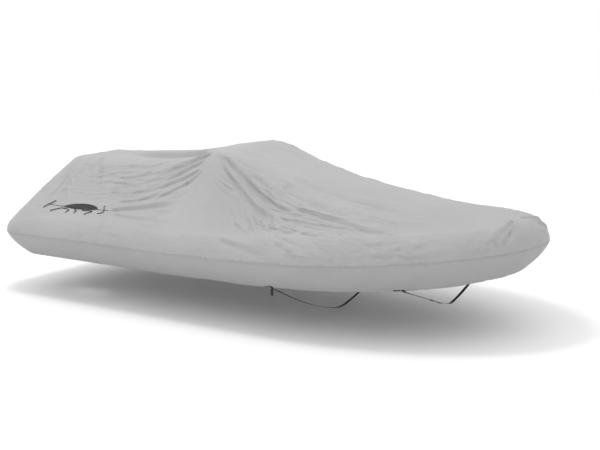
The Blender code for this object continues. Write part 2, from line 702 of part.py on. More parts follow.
def make_link(material):
    """A closed wire link with round corners, lying in the plane of the strap."""
    middle, way = link_frame()
    curve = bpy.data.curves.new("strap_link", "CURVE")
    curve.dimensions = "3D"
    curve.bevel_depth = LINK_WIRE
    curve.bevel_resolution = 2
    spline = curve.splines.new("POLY")
    corners = []
    for quarter, (sx, sy) in enumerate(((1, 1), (-1, 1), (-1, -1), (1, -1))):
        centre_x = sx * (LINK_WIDTH / 2 - LINK_CORNER)
        centre_y = sy * (LINK_LENGTH / 2 - LINK_CORNER)
        for turn in np.linspace(0, math.pi / 2, 5):
            angle = quarter * math.pi / 2 + turn
            corners.append((centre_x + LINK_CORNER * math.cos(angle), centre_y + LINK_CORNER * math.sin(angle)))
    spline.points.add(len(corners) - 1)
    for place, (across, along) in zip(spline.points, corners):
        place.co = (*(middle + along * way + (across, 0, 0) - ORIGIN), 1)
    spline.use_cyclic_u = True
    curve.materials.append(material)
    link = bpy.data.objects.new("strap_link", curve)
    bpy.context.scene.collection.objects.link(link)
    return link


def build():
    for thing in list(bpy.data.objects):
        bpy.data.objects.remove(thing, do_unlink=True)
    cloth = new_material("Coated polyester", (0.46, 0.46, 0.455), 0.75)
    cord = new_material("Black polyester cord", (0.015, 0.015, 0.016), 0.8)
    webbing = new_material("Black webbing", (0.012, 0.012, 0.013), 0.7)
    steel = new_material("Steel wire", (0.32, 0.32, 0.33), 0.35, metallic=1.0)
    make_crown(cloth)
    make_skirt("skirt_starboard", False, cloth)
    make_skirt("skirt_port", True, cloth)
    make_lace("lace_starboard", False, cord)
    make_lace("lace_port", True, cord)
    for end, x in (("fore", FORE_STRAP_X), ("mid", MID_STRAP_X)):
        make_tab(f"tab_{end}_starboard", x, False, webbing)
        make_tab(f"tab_{end}_port", x, True, webbing)
    make_mid_strap(webbing)
    make_fore_strap(webbing)
    make_link(steel)


build()
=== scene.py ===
# A fitted cover of grey coated cloth for a six metre inflatable boat, as it sits over the boat:
# a crown in one sheet, a skirt in two strips, two laced slits and two straps of webbing.
# The tables hold the boat's own measures in metres: x forward of the tubes' aft ends, y to port and
# z above the seam at the stern. "along" is the distance round the seam from the middle of the stern
# and "up" is the distance up the cloth from the seam.

import math

import bmesh
import bpy
import numpy as np
from mathutils import Matrix, Vector


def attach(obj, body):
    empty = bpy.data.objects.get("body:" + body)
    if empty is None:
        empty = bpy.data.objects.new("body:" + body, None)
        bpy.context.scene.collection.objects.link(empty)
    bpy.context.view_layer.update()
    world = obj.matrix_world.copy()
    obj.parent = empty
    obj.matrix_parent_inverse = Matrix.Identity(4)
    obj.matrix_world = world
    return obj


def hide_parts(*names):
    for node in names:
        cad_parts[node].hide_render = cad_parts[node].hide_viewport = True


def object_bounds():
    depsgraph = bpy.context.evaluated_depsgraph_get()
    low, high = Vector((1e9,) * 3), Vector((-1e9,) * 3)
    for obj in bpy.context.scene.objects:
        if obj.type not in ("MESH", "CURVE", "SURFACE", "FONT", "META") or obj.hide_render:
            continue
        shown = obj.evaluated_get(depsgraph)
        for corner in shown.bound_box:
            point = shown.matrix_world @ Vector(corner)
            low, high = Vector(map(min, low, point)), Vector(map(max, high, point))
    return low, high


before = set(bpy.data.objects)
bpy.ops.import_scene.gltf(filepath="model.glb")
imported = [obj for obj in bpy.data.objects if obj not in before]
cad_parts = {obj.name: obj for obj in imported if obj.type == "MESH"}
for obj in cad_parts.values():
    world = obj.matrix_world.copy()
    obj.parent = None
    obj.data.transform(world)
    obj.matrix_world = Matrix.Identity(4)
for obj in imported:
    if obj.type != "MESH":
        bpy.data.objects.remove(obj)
cadBox = [list(corner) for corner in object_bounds()]
print("frame loaded")

origin = np.array((2.685, 0.0, 0.881))  # under the cloth, in the middle of the console's top edge
bothSides = ("starboard", "port")


# Small helpers

def linearColour(code):  # "#b0b0ae" in sRGB to the shader's linear values
    values = [int(code[k:k + 2], 16) / 255 for k in (1, 3, 5)]
    return (*[v / 12.92 if v <= 0.04045 else ((v + 0.055) / 1.055) ** 2.4 for v in values], 1)


def addNode(tree, kind, settings=None, links=None):  # links: input name or number -> a value or an output
    node = tree.nodes.new(kind)
    for name, value in (settings or {}).items():
        setattr(node, name, value)
    for name, value in (links or {}).items():
        if isinstance(value, bpy.types.NodeSocket):
            tree.links.new(value, node.inputs[name])
        else:
            node.inputs[name].default_value = value
    return node


def newMaterial(name, base, roughness, **sockets):
    material = bpy.data.materials.new(name)
    material.use_nodes = True
    shader = material.node_tree.nodes["Principled BSDF"]
    shader.inputs["Base Color"].default_value = linearColour(base)
    shader.inputs["Roughness"].default_value = roughness
    for socket, value in sockets.items():
        shader.inputs[socket.replace("_", " ")].default_value = value
    return material, material.node_tree, shader


def newPiece(name, points, faces, material, maps=None, values=None):
    mesh = bpy.data.meshes.new(name)
    mesh.from_pydata((np.asarray(points) - origin).tolist(), [], faces)
    mesh.materials.append(material)
    corners = np.empty(len(mesh.loops), int)
    mesh.loops.foreach_get("vertex_index", corners)
    for mapName, place in (maps or {}).items():
        layer = mesh.uv_layers.new(name=mapName)
        layer.data.foreach_set("uv", np.asarray(place, float)[corners].ravel())
    for valueName, value in (values or {}).items():
        mesh.attributes.new(valueName, "FLOAT", "POINT").data.foreach_set("value", np.asarray(value, float))
    thing = bpy.data.objects.new(name, mesh)
    bpy.context.scene.collection.objects.link(thing)
    mesh.shade_smooth()
    return thing


def makePlain(thing):  # applies every modifier
    result = bpy.data.meshes.new_from_object(thing.evaluated_get(bpy.context.evaluated_depsgraph_get()))
    thing.modifiers.clear()
    thing.data = result
    return thing


def thicken(thing, thickness):  # inwards from the face
    solidify = thing.modifiers.new("thickness", "SOLIDIFY")
    solidify.thickness = thickness
    solidify.offset = -1
    return makePlain(thing)


def changeMesh(thing, change):
    shape = bmesh.new()
    shape.from_mesh(thing.data)
    change(shape)
    shape.to_mesh(thing.data)
    shape.free()


def gridFaces(rows, columns, first=0, turned=False):
    faces = []
    for i in range(rows - 1):
        for j in range(columns - 1):
            a = first + i * columns + j
            quad = (a, a + columns, a + columns + 1, a + 1)
            faces.append(quad[::-1] if turned else quad)
    return faces


def ringFaces(rings, sides, joined=False):  # a tube's walls, with flat ends unless its ends are joined
    faces = []
    for k in range(rings if joined else rings - 1):
        after = (k + 1) % rings
        for side in range(sides):
            beside = (side + 1) % sides
            faces.append((k * sides + side, k * sides + beside, after * sides + beside, after * sides + side))
    if not joined:
        faces.append(tuple(reversed(range(sides))))
        faces.append(tuple((rings - 1) * sides + k for k in range(sides)))
    return faces


def onSide(points, side):  # shapes are worked out to starboard
    return points * np.array([1, -1, 1]) if side == "port" else points


def smoothStep(share):
    share = np.clip(share, 0, 1)
    return share * share * (3 - 2 * share)


def unit(vectors):
    return vectors / np.maximum(np.linalg.norm(vectors, axis=-1, keepdims=True), 1e-9)


def lengthAlong(line):
    return np.concatenate([[0], np.cumsum(np.linalg.norm(np.diff(line, axis=0), axis=-1))])


def placesAt(line, length, at):  # the points of a line at these lengths along it
    return np.stack([np.interp(at, length, line[:, axis]) for axis in range(line.shape[1])], -1)


# Camera and light

camera = {
    "place": (10.573, -8.666, 2.236),
    "heading": 49.979,  # degrees round from the beam towards the stern
    "down": 10.585,
    "roll": 2.703,  # the boat stands bow up, so the camera leans instead
    "lens": 72,
    "sight": 200,
}

light = {
    "horizon": 1.00,
    "zenith": 1.08,
    "climb": (0.05, 0.9),  # where the one gives way to the other
    "boxes": (  # place, where it points, width and power
        ((2.0, -1.6, 8.4), (2.8, 0.0, 0.3), 2.2, 228),
    ),
}


def addCamera():
    turn, tilt, roll = (math.radians(camera[name]) for name in ("heading", "down", "roll"))
    ahead = np.array((-math.cos(turn) * math.cos(tilt), math.sin(turn) * math.cos(tilt), -math.sin(tilt)))
    right = np.array((math.sin(turn), math.cos(turn), 0))
    up = np.cross(right, ahead)
    leanRight = math.cos(roll) * right - math.sin(roll) * up
    leanUp = math.sin(roll) * right + math.cos(roll) * up
    data = bpy.data.cameras.new("camera")
    data.lens = camera["lens"]
    data.clip_end = camera["sight"]
    thing = bpy.data.objects.new("camera", data)
    bpy.context.scene.collection.objects.link(thing)
    pose = Matrix([(*row, 0) for row in np.stack([leanRight, leanUp, -ahead]).T.tolist()] + [(0, 0, 0, 1)])
    pose.translation = tuple(np.array(camera["place"]) - origin)
    thing.matrix_world = pose
    bpy.context.scene.camera = thing


def addLights():
    world = bpy.data.worlds.new("overcast sky")
    world.use_nodes = True
    tree = world.node_tree
    place = addNode(tree, "ShaderNodeTexCoord")
    height = addNode(tree, "ShaderNodeSeparateXYZ", {}, {0: place.outputs["Generated"]})
    glow = addNode(tree, "ShaderNodeMapRange", {"interpolation_type": "SMOOTHSTEP"}, {
        "Value": height.outputs["Z"], "From Min": light["climb"][0], "From Max": light["climb"][1],
        "To Min": light["horizon"], "To Max": light["zenith"]})
    tree.links.new(glow.outputs["Result"], tree.nodes["Background"].inputs["Strength"])
    tree.nodes["Background"].inputs["Color"].default_value = (1.0, 1.0, 1.0, 1)
    bpy.context.scene.world = world
    for number, (place, target, width, power) in enumerate(light["boxes"]):
        data = bpy.data.lights.new(f"softbox {number}", "AREA")
        data.size = width
        data.energy = power
        thing = bpy.data.objects.new(data.name, data)
        thing.location = tuple(np.array(place) - origin)
        thing.rotation_mode = "QUATERNION"
        thing.rotation_quaternion = Vector(np.array(target) - np.array(place)).to_track_quat("-Z", "Y")
        bpy.context.scene.collection.objects.link(thing)
    bpy.context.scene.view_settings.view_transform = "Standard"


addCamera()
addLights()


# The shape of the covered boat

plan = {
    "stern": 0.08,
    "bow": 5.865,
    "halfBeam": 1.20,
    "quarter": 0.35,
    "bowStart": 3.358,
    "bowFullness": 2.24,
    "endAlong": 7.353,
    "onMiddle": 0.002,  # nearer the middle than this is on it
}

sections = {
    "columns": (
        "along", "spineX", "seamZ", "radius", "ridgeZ", "ridgeHalf",
        "rounding", "sag", "drop", "inset", "rise",
    ),
    "rows": (
        (0.000, 0.52, 0.000, 0.110, 0.695, 0.080, 0.05, 0.030, 0.24, 0.20, 0.010),
        (0.500, 0.53, 0.000, 0.120, 0.695, 0.110, 0.05, 0.015, 0.24, 0.21, 0.011),
        (0.850, 0.54, 0.000, 0.130, 0.695, 0.175, 0.06, -0.005, 0.24, 0.21, 0.012),
        (1.136, 0.56, 0.000, 0.140, 0.695, 0.330, 0.05, -0.015, 0.25, 0.22, 0.014),
        (1.400, 0.60, 0.000, 0.160, 0.695, 0.325, 0.06, 0.015, 0.26, 0.24, 0.016),
        (1.720, 0.76, 0.000, 0.210, 0.700, 0.320, 0.08, 0.080, 0.26, 0.24, 0.016),
        (2.100, 1.13, 0.000, 0.240, 0.717, 0.320, 0.12, 0.100, 0.26, 0.24, 0.016),
        (2.770, 1.80, 0.000, 0.250, 0.752, 0.350, 0.12, 0.095, 0.26, 0.24, 0.018),
        (3.300, 2.33, 0.000, 0.250, 0.815, 0.410, 0.10, 0.080, 0.26, 0.24, 0.020),
        (3.620, 2.65, 0.002, 0.250, 0.864, 0.455, 0.05, 0.060, 0.26, 0.24, 0.020),
        (3.690, 2.72, 0.003, 0.250, 0.862, 0.455, 0.05, 0.060, 0.26, 0.24, 0.020),
        (3.950, 2.97, 0.010, 0.250, 0.795, 0.440, 0.12, 0.080, 0.26, 0.24, 0.020),
        (4.350, 3.36, 0.012, 0.250, 0.687, 0.420, 0.20, 0.090, 0.26, 0.24, 0.020),
        (4.750, 3.74, 0.025, 0.250, 0.585, 0.400, 0.24, 0.070, 0.26, 0.24, 0.020),
        (5.200, 4.10, 0.035, 0.250, 0.515, 0.380, 0.28, 0.045, 0.26, 0.24, 0.019),
        (5.700, 4.55, 0.060, 0.238, 0.440, 0.340, 0.30, 0.025, 0.26, 0.24, 0.017),
        (6.100, 4.90, 0.090, 0.224, 0.404, 0.300, 0.30, 0.012, 0.268, 0.24, 0.015),
        (6.500, 5.15, 0.115, 0.215, 0.378, 0.240, 0.25, 0.004, 0.266, 0.25, 0.012),
        (6.850, 5.33, 0.135, 0.210, 0.362, 0.190, 0.20, 0.000, 0.255, 0.25, 0.009),
        (7.150, 5.42, 0.148, 0.206, 0.354, 0.150, 0.15, 0.000, 0.243, 0.228, 0.007),
        (7.350, 5.46, 0.153, 0.210, 0.352, 0.120, 0.12, 0.000, 0.235, 0.208, 0.006),
    ),
    "roundedSide": 0.45,  # the most of the side, and of the top, that the ridge's rounding may take
    "roundedTop": 0.9,
    "skirtStraight": 0.45,  # how much of the skirt's inset is straight; the rest curves
}

slit = {
    "share": 0.335,  # of the straight side, up from the tube
    "start": 1.55,
    "end": 2.54,
    "halfGap": 0.004,
    "closing": 0.03,  # how far its ends take to close
    "footStart": 0.86,  # x, where the roll bar's leg stands in it
    "footEnd": 1.38,
    "footBelow": 0.018,
    "footAbove": 0.075,
    "footFullness": 0.6,
    "easing": 0.22,  # how far up the cloth the lips' pull reaches
}

fineSteps = {
    "tube": 16,
    "belowSlit": 28,
    "aboveSlit": 72,
    "ridge": 16,
    "top": 24,
    "stations": 700,
    "seamPlan": (20, 60, 400),  # over the stern, the quarter and the bow
}

slitRow = fineSteps["tube"] + fineSteps["belowSlit"]


def seamPlan(along):
    sternSteps, quarterSteps, bowSteps = fineSteps["seamPlan"]
    inner = plan["halfBeam"] - plan["quarter"]
    line = [(plan["stern"], -y) for y in np.linspace(0, inner, sternSteps)]
    for turn in np.linspace(0, math.pi / 2, quarterSteps):
        forward = plan["quarter"] * (1 - math.cos(turn))
        line.append((plan["stern"] + forward, -inner - plan["quarter"] * math.sin(turn)))
    for turn in np.linspace(0, math.pi / 2, bowSteps):
        forward = (plan["bow"] - plan["bowStart"]) * math.sin(turn) ** (2 / plan["bowFullness"])
        line.append((plan["bowStart"] + forward, -plan["halfBeam"] * math.cos(turn)))
    line = np.array(line)
    place = placesAt(line, lengthAlong(line), along)
    place[np.abs(place[:, 1]) < plan["onMiddle"], 1] = 0  # the halves meet at the bow and at the stern
    return place


def betweenRows(column, along):  # smooth, and never past its rows
    table = np.array(sections["rows"])
    at = table[:, 0]
    value = table[:, sections["columns"].index(column)]
    step = np.diff(at)
    slope = np.diff(value) / step
    sameWay = slope[:-1] * slope[1:] > 0
    total = np.where(sameWay, slope[:-1] + slope[1:], 1.0)
    inner = np.where(sameWay, 2 * slope[:-1] * slope[1:] / total, 0.0)
    tangent = np.concatenate([[slope[0]], inner, [slope[-1]]])
    row = np.clip(np.searchsorted(at, along, side="right") - 1, 0, len(step) - 1)
    t = (along - at[row]) / step[row]
    return (
        value[row] * (1 + 2 * t) * (1 - t) ** 2 + tangent[row] * step[row] * t * (1 - t) ** 2
        + value[row + 1] * t**2 * (3 - 2 * t) + tangent[row + 1] * step[row] * t**2 * (t - 1)
    )


def sectionLine(reach, radius, seamZ, ridgeZ, half, rounding, sag, rise):
    ridge = np.array([reach - half, ridgeZ])
    centre = np.array([radius, seamZ])
    toRidge = ridge - centre
    leaving = math.atan2(toRidge[1], toRidge[0]) + math.acos(min(radius / np.hypot(*toRidge), 1))
    angle = np.linspace(math.pi, leaving, fineSteps["tube"] + 1)
    tube = centre + radius * np.stack([np.cos(angle), np.sin(angle)], -1)
    climb = ridge - tube[-1]
    sideEnd = ridge - min(rounding / np.hypot(*climb), sections["roundedSide"]) * climb
    share = np.concatenate([
        np.linspace(0, slit["share"], fineSteps["belowSlit"] + 1)[1:],
        np.linspace(slit["share"], 1, fineSteps["aboveSlit"] + 1)[1:],
    ])[:, None]
    side = tube[-1] + share * (sideEnd - tube[-1])
    side[:, 1] -= sag * np.sin(math.pi * share[:, 0])
    spine = np.array([reach, ridgeZ + rise])
    across = (spine - ridge) / np.hypot(*(spine - ridge))
    ridgeEnd = ridge + min(rounding, sections["roundedTop"] * half) * across
    t = np.linspace(0, 1, fineSteps["ridge"] + 1)[1:, None]
    corner = (1 - t) ** 2 * sideEnd + 2 * t * (1 - t) * ridge + t**2 * ridgeEnd
    s = np.linspace(0, 1, fineSteps["top"] + 1)[1:, None]
    return np.concatenate([tube, side, corner, ridgeEnd + s * (spine - ridgeEnd)])


def crownGrid(along):  # starboard half, as [station, step up, xyz]
    edges = seamPlan(along)
    row = {column: betweenRows(column, along) for column in sections["columns"]}
    grid = []
    for k, edge in enumerate(edges):
        spine = np.array([row["spineX"][k], 0.0])
        reach = np.hypot(*(spine - edge))
        line = sectionLine(
            reach, row["radius"][k], row["seamZ"][k], row["ridgeZ"][k],
            row["ridgeHalf"][k], row["rounding"][k], row["sag"][k], row["rise"][k],
        )
        grid.append(np.column_stack([edge + line[:, :1] * (spine - edge) / reach, line[:, 1]]))
    return np.array(grid)


def upTheCloth(grid):
    steps = np.linalg.norm(np.diff(grid, axis=1), axis=-1)
    return np.concatenate([np.zeros((len(grid), 1)), np.cumsum(steps, axis=1)], 1)


def gridNormals(grid):
    return unit(np.cross(np.gradient(grid, axis=0), np.gradient(grid, axis=1)))


def skirtGrid(along, down):  # starboard, from the seam (0) to the hem (1)
    edges = seamPlan(along)
    step = 0.01
    around = unit(seamPlan(along + step) - seamPlan(along - step))
    inward = np.stack([-around[:, 1], around[:, 0]], -1)
    inward[np.abs(edges[:, 1]) < step, 1] = 0
    straight = sections["skirtStraight"]
    inset = betweenRows("inset", along)[:, None] * (straight * down + (1 - straight) * down * np.abs(down))
    inPlan = edges[:, None] + inset[..., None] * inward[:, None]
    z = betweenRows("seamZ", along)[:, None] - betweenRows("drop", along)[:, None] * down
    return np.concatenate([inPlan, z[..., None]], -1)


# Folds and wrinkles

# Each fold is a line over the cloth (along, up) from what pulls it, through its middle, to where it dies out.
# The cloth stands proud on the line's upper side and sinks on its lower side, "width" away from it.
# With lean 0 the line is a valley, or a ridge where the height is positive.
folds = {
    # from, middle and to, each as along and up, then width, height and lean
    "starboard": (
        # from the console's corner, aft
        (3.56, 1.185, 2.80, 1.290, 2.00, 1.455, 0.042, 0.0240, 1),
        (3.63, 1.135, 3.30, 1.055, 2.90, 0.985, 0.024, 0.0120, 1),
        (3.57, 1.055, 3.30, 0.970, 2.98, 0.890, 0.018, 0.0091, 1),
        (3.55, 0.970, 3.29, 0.865, 2.90, 0.780, 0.018, 0.0095, 1),
        (3.58, 0.945, 3.50, 0.850, 3.38, 0.790, 0.016, 0.0084, 1),
        (3.48, 0.830, 3.25, 0.742, 3.00, 0.632, 0.016, 0.0100, 1),
        (2.53, 0.480, 2.92, 0.548, 3.52, 0.614, 0.024, 0.0140, 1),
        (2.64, 0.428, 2.95, 0.395, 3.36, 0.385, 0.018, 0.0065, 1),
        (3.12, 0.503, 3.27, 0.493, 3.44, 0.483, 0.012, 0.0039, 1),
        (3.28, 0.357, 3.40, 0.355, 3.54, 0.355, 0.012, 0.0034, 1),
        (2.32, 0.920, 2.58, 0.935, 2.88, 1.015, 0.014, 0.0072, 1),
        (2.14, 1.110, 2.36, 1.085, 2.58, 1.065, 0.018, 0.0045, 1),
        (2.54, 0.615, 2.86, 0.655, 3.14, 0.760, 0.013, 0.0081, 1),
        (2.30, 0.735, 2.64, 0.738, 3.02, 0.795, 0.013, 0.0062, 1),
        (2.32, 0.785, 2.60, 0.825, 2.84, 0.868, 0.013, 0.0058, 1),
        (2.26, 0.852, 2.48, 0.848, 2.68, 0.845, 0.012, 0.0059, 1),
        (3.00, 0.850, 3.18, 0.915, 3.40, 0.985, 0.013, 0.0055, 1),
        (2.72, 0.137, 2.90, 0.120, 3.08, 0.106, 0.014, 0.0039, 1),
        # from the same corner, forward
        (3.76, 1.135, 4.14, 0.945, 4.66, 0.660, 0.022, 0.0145, 1),
        (3.80, 1.040, 4.22, 0.770, 4.78, 0.520, 0.022, 0.0125, 1),
        (4.04, 1.050, 4.41, 0.935, 4.80, 0.788, 0.018, 0.0091, 1),
        (4.42, 0.815, 4.61, 0.730, 4.84, 0.682, 0.014, 0.0097, 1),
        (4.46, 0.992, 4.63, 0.920, 4.78, 0.852, 0.012, 0.0068, 1),
        (4.44, 1.055, 4.54, 1.015, 4.68, 0.965, 0.012, 0.0047, 1),
        (3.90, 0.840, 3.98, 0.815, 4.06, 0.788, 0.012, 0.0039, 1),
        (4.38, 0.880, 4.52, 0.805, 4.70, 0.705, 0.012, 0.0065, 1),
        (4.22, 0.480, 4.43, 0.385, 4.68, 0.232, 0.018, 0.0059, 1),
        (4.62, 0.480, 4.84, 0.445, 5.08, 0.365, 0.014, 0.0078, 1),
        (4.48, 0.565, 4.56, 0.500, 4.65, 0.432, 0.012, 0.0052, 1),
        (4.26, 0.208, 4.55, 0.155, 4.84, 0.080, 0.024, 0.0111, 1),
        # along the bow's side
        (4.48, 1.155, 5.16, 1.025, 6.02, 0.835, 0.032, 0.0085, 1),
        (4.70, 0.875, 5.13, 0.785, 5.52, 0.658, 0.018, 0.0111, 1),
        (4.80, 0.730, 5.41, 0.580, 6.14, 0.300, 0.028, 0.0135, 1),
        (4.66, 0.612, 5.17, 0.545, 5.68, 0.488, 0.014, 0.0084, 1),
        (4.74, 0.515, 5.15, 0.395, 5.64, 0.250, 0.018, 0.0065, 1),
        (5.32, 0.762, 5.68, 0.655, 6.00, 0.530, 0.016, 0.0060, 1),
        (5.04, 0.420, 5.16, 0.385, 5.34, 0.335, 0.018, 0.0059, 1),
        (4.86, 0.310, 4.95, 0.262, 5.10, 0.210, 0.014, 0.0055, 1),
        (4.86, 0.220, 5.03, 0.160, 5.18, 0.108, 0.013, 0.0072, 1),
        (4.96, 0.265, 5.13, 0.205, 5.30, 0.165, 0.013, 0.0065, 1),
        (5.02, 0.112, 5.16, 0.072, 5.30, 0.048, 0.011, 0.0059, 1),
        (5.30, 0.092, 5.42, 0.076, 5.56, 0.068, 0.011, 0.0052, 1),
        (5.48, 0.096, 5.84, 0.095, 6.14, 0.087, 0.013, 0.0059, 1),
        (5.72, 0.195, 5.94, 0.205, 6.16, 0.213, 0.013, 0.0072, 1),
        (5.88, 0.095, 6.09, 0.148, 6.32, 0.153, 0.014, 0.0058, 1),
        (6.07, 0.075, 6.19, 0.125, 6.29, 0.215, 0.013, 0.0046, 1),
        (6.12, 0.060, 6.30, 0.070, 6.52, 0.083, 0.012, 0.0059, 1),
        # round the bow
        (7.26, 0.358, 6.99, 0.232, 6.84, 0.085, 0.028, 0.0160, 1),
        (7.16, 0.268, 6.99, 0.155, 6.92, 0.062, 0.021, 0.0130, 1),
        (6.77, 0.118, 6.85, 0.140, 6.94, 0.158, 0.010, 0.0059, 1),
        (6.77, 0.084, 6.84, 0.098, 6.92, 0.112, 0.010, 0.0059, 1),
        (6.64, 0.062, 6.76, 0.050, 6.90, 0.025, 0.020, 0.0059, 1),
        (7.32, 0.110, 7.30, 0.060, 7.29, 0.010, 0.013, -0.0065, 0),
        (7.20, 0.120, 7.18, 0.070, 7.17, 0.010, 0.012, -0.0059, 0),
        (7.10, 0.080, 7.08, 0.045, 7.08, 0.005, 0.012, -0.0052, 0),
        # under the aft locker's corner, and aft of the slit
        (1.83, 1.240, 1.97, 1.000, 2.20, 0.640, 0.042, -0.0150, 0),
        (1.76, 1.230, 1.88, 1.010, 2.12, 0.650, 0.034, 0.0080, 0),
        (1.43, 0.930, 1.50, 0.720, 1.47, 0.500, 0.015, -0.0111, 0),
        (1.56, 0.980, 1.58, 0.780, 1.57, 0.560, 0.020, 0.0059, 0),
        (1.36, 1.000, 1.37, 0.780, 1.30, 0.480, 0.026, -0.0059, 0),
        (1.66, 1.150, 1.67, 1.020, 1.66, 0.880, 0.018, -0.0052, 0),
        (1.16, 0.640, 1.23, 0.622, 1.30, 0.618, 0.013, 0.0052, 1),
        (0.78, 0.880, 0.74, 0.640, 0.62, 0.300, 0.040, -0.0090, 0),
        (0.30, 0.760, 0.32, 0.520, 0.40, 0.240, 0.036, -0.0070, 0),
        (0.98, 1.000, 1.00, 0.760, 1.06, 0.500, 0.026, 0.0078, 0),
        (0.05, 0.700, 0.12, 0.480, 0.20, 0.220, 0.030, 0.0060, 0),
        # over the top
        (2.20, 1.440, 2.70, 1.430, 3.40, 1.450, 0.060, -0.0030, 0),
        (3.90, 1.350, 4.40, 1.330, 5.10, 1.240, 0.070, -0.0035, 0),
        (4.10, 1.230, 4.60, 1.170, 5.20, 1.130, 0.050, 0.0030, 0),
    ),
    "both": (  # these run across the middle of the bow or the stern
        (7.18, 0.335, 7.353, 0.342, 7.526, 0.335, 0.036, 0.0046, 1),
        (-0.40, 0.600, 0.00, 0.660, 0.40, 0.600, 0.050, 0.0050, 1),
        (-0.60, 0.300, 0.00, 0.340, 0.60, 0.300, 0.040, -0.0040, 0),
    ),
    "port": (
        (3.64, 1.150, 3.30, 1.080, 2.84, 0.960, 0.024, 0.0129, 1),
        (3.60, 1.130, 2.80, 1.080, 1.98, 1.110, 0.034, 0.0080, 1),
        (3.54, 1.030, 3.26, 0.905, 2.80, 0.800, 0.020, 0.0111, 1),
        (3.48, 0.900, 3.20, 0.770, 2.78, 0.670, 0.017, 0.0078, 1),
        (3.40, 0.760, 3.20, 0.680, 2.92, 0.600, 0.014, 0.0052, 1),
        (2.54, 0.500, 2.84, 0.560, 3.34, 0.600, 0.022, 0.0097, 1),
        (2.58, 0.420, 2.90, 0.400, 3.20, 0.410, 0.016, 0.0039, 1),
        (3.76, 1.130, 4.16, 0.930, 4.60, 0.730, 0.020, 0.0146, 1),
        (3.90, 0.960, 4.22, 0.780, 4.66, 0.600, 0.020, 0.0104, 1),
        (4.20, 1.060, 4.48, 0.960, 4.84, 0.860, 0.015, 0.0065, 1),
        (4.02, 0.760, 4.20, 0.640, 4.46, 0.480, 0.016, 0.0059, 1),
        (4.46, 0.840, 4.66, 0.760, 4.94, 0.680, 0.012, 0.0059, 1),
        (4.70, 0.900, 5.06, 0.830, 5.44, 0.720, 0.019, 0.0091, 1),
        (4.84, 0.740, 5.36, 0.640, 5.96, 0.400, 0.024, 0.0101, 1),
        (4.80, 0.600, 5.14, 0.560, 5.52, 0.470, 0.014, 0.0065, 1),
        (5.20, 0.420, 5.46, 0.360, 5.74, 0.260, 0.018, 0.0059, 1),
        (5.60, 0.120, 5.84, 0.150, 6.06, 0.210, 0.015, 0.0065, 1),
        (6.16, 0.050, 6.34, 0.100, 6.50, 0.160, 0.015, 0.0065, 1),
        (7.22, 0.330, 6.98, 0.250, 6.74, 0.100, 0.020, 0.0129, 1),
        (7.16, 0.210, 7.02, 0.150, 6.90, 0.050, 0.015, 0.0111, 1),
        (7.20, 0.120, 7.19, 0.080, 7.18, 0.030, 0.013, -0.0052, 0),
        (1.84, 1.240, 2.00, 0.980, 2.26, 0.640, 0.042, -0.0140, 0),
        (1.76, 1.230, 1.90, 0.990, 2.16, 0.650, 0.034, 0.0080, 0),
        (1.44, 0.920, 1.47, 0.700, 1.48, 0.490, 0.016, -0.0104, 0),
        (1.60, 1.060, 1.61, 0.850, 1.60, 0.600, 0.020, 0.0065, 0),
        (1.32, 0.960, 1.34, 0.740, 1.40, 0.460, 0.024, -0.0065, 0),
        (0.80, 0.900, 0.78, 0.640, 0.70, 0.320, 0.040, -0.0080, 0),
        (0.34, 0.760, 0.30, 0.520, 0.24, 0.260, 0.036, -0.0065, 0),
        (1.02, 0.960, 1.00, 0.740, 0.92, 0.480, 0.026, 0.0072, 0),
        (2.10, 1.330, 2.70, 1.320, 3.30, 1.345, 0.045, -0.0060, 0),
        (3.90, 1.330, 4.50, 1.300, 5.20, 1.220, 0.050, -0.0065, 0),
    ),
}

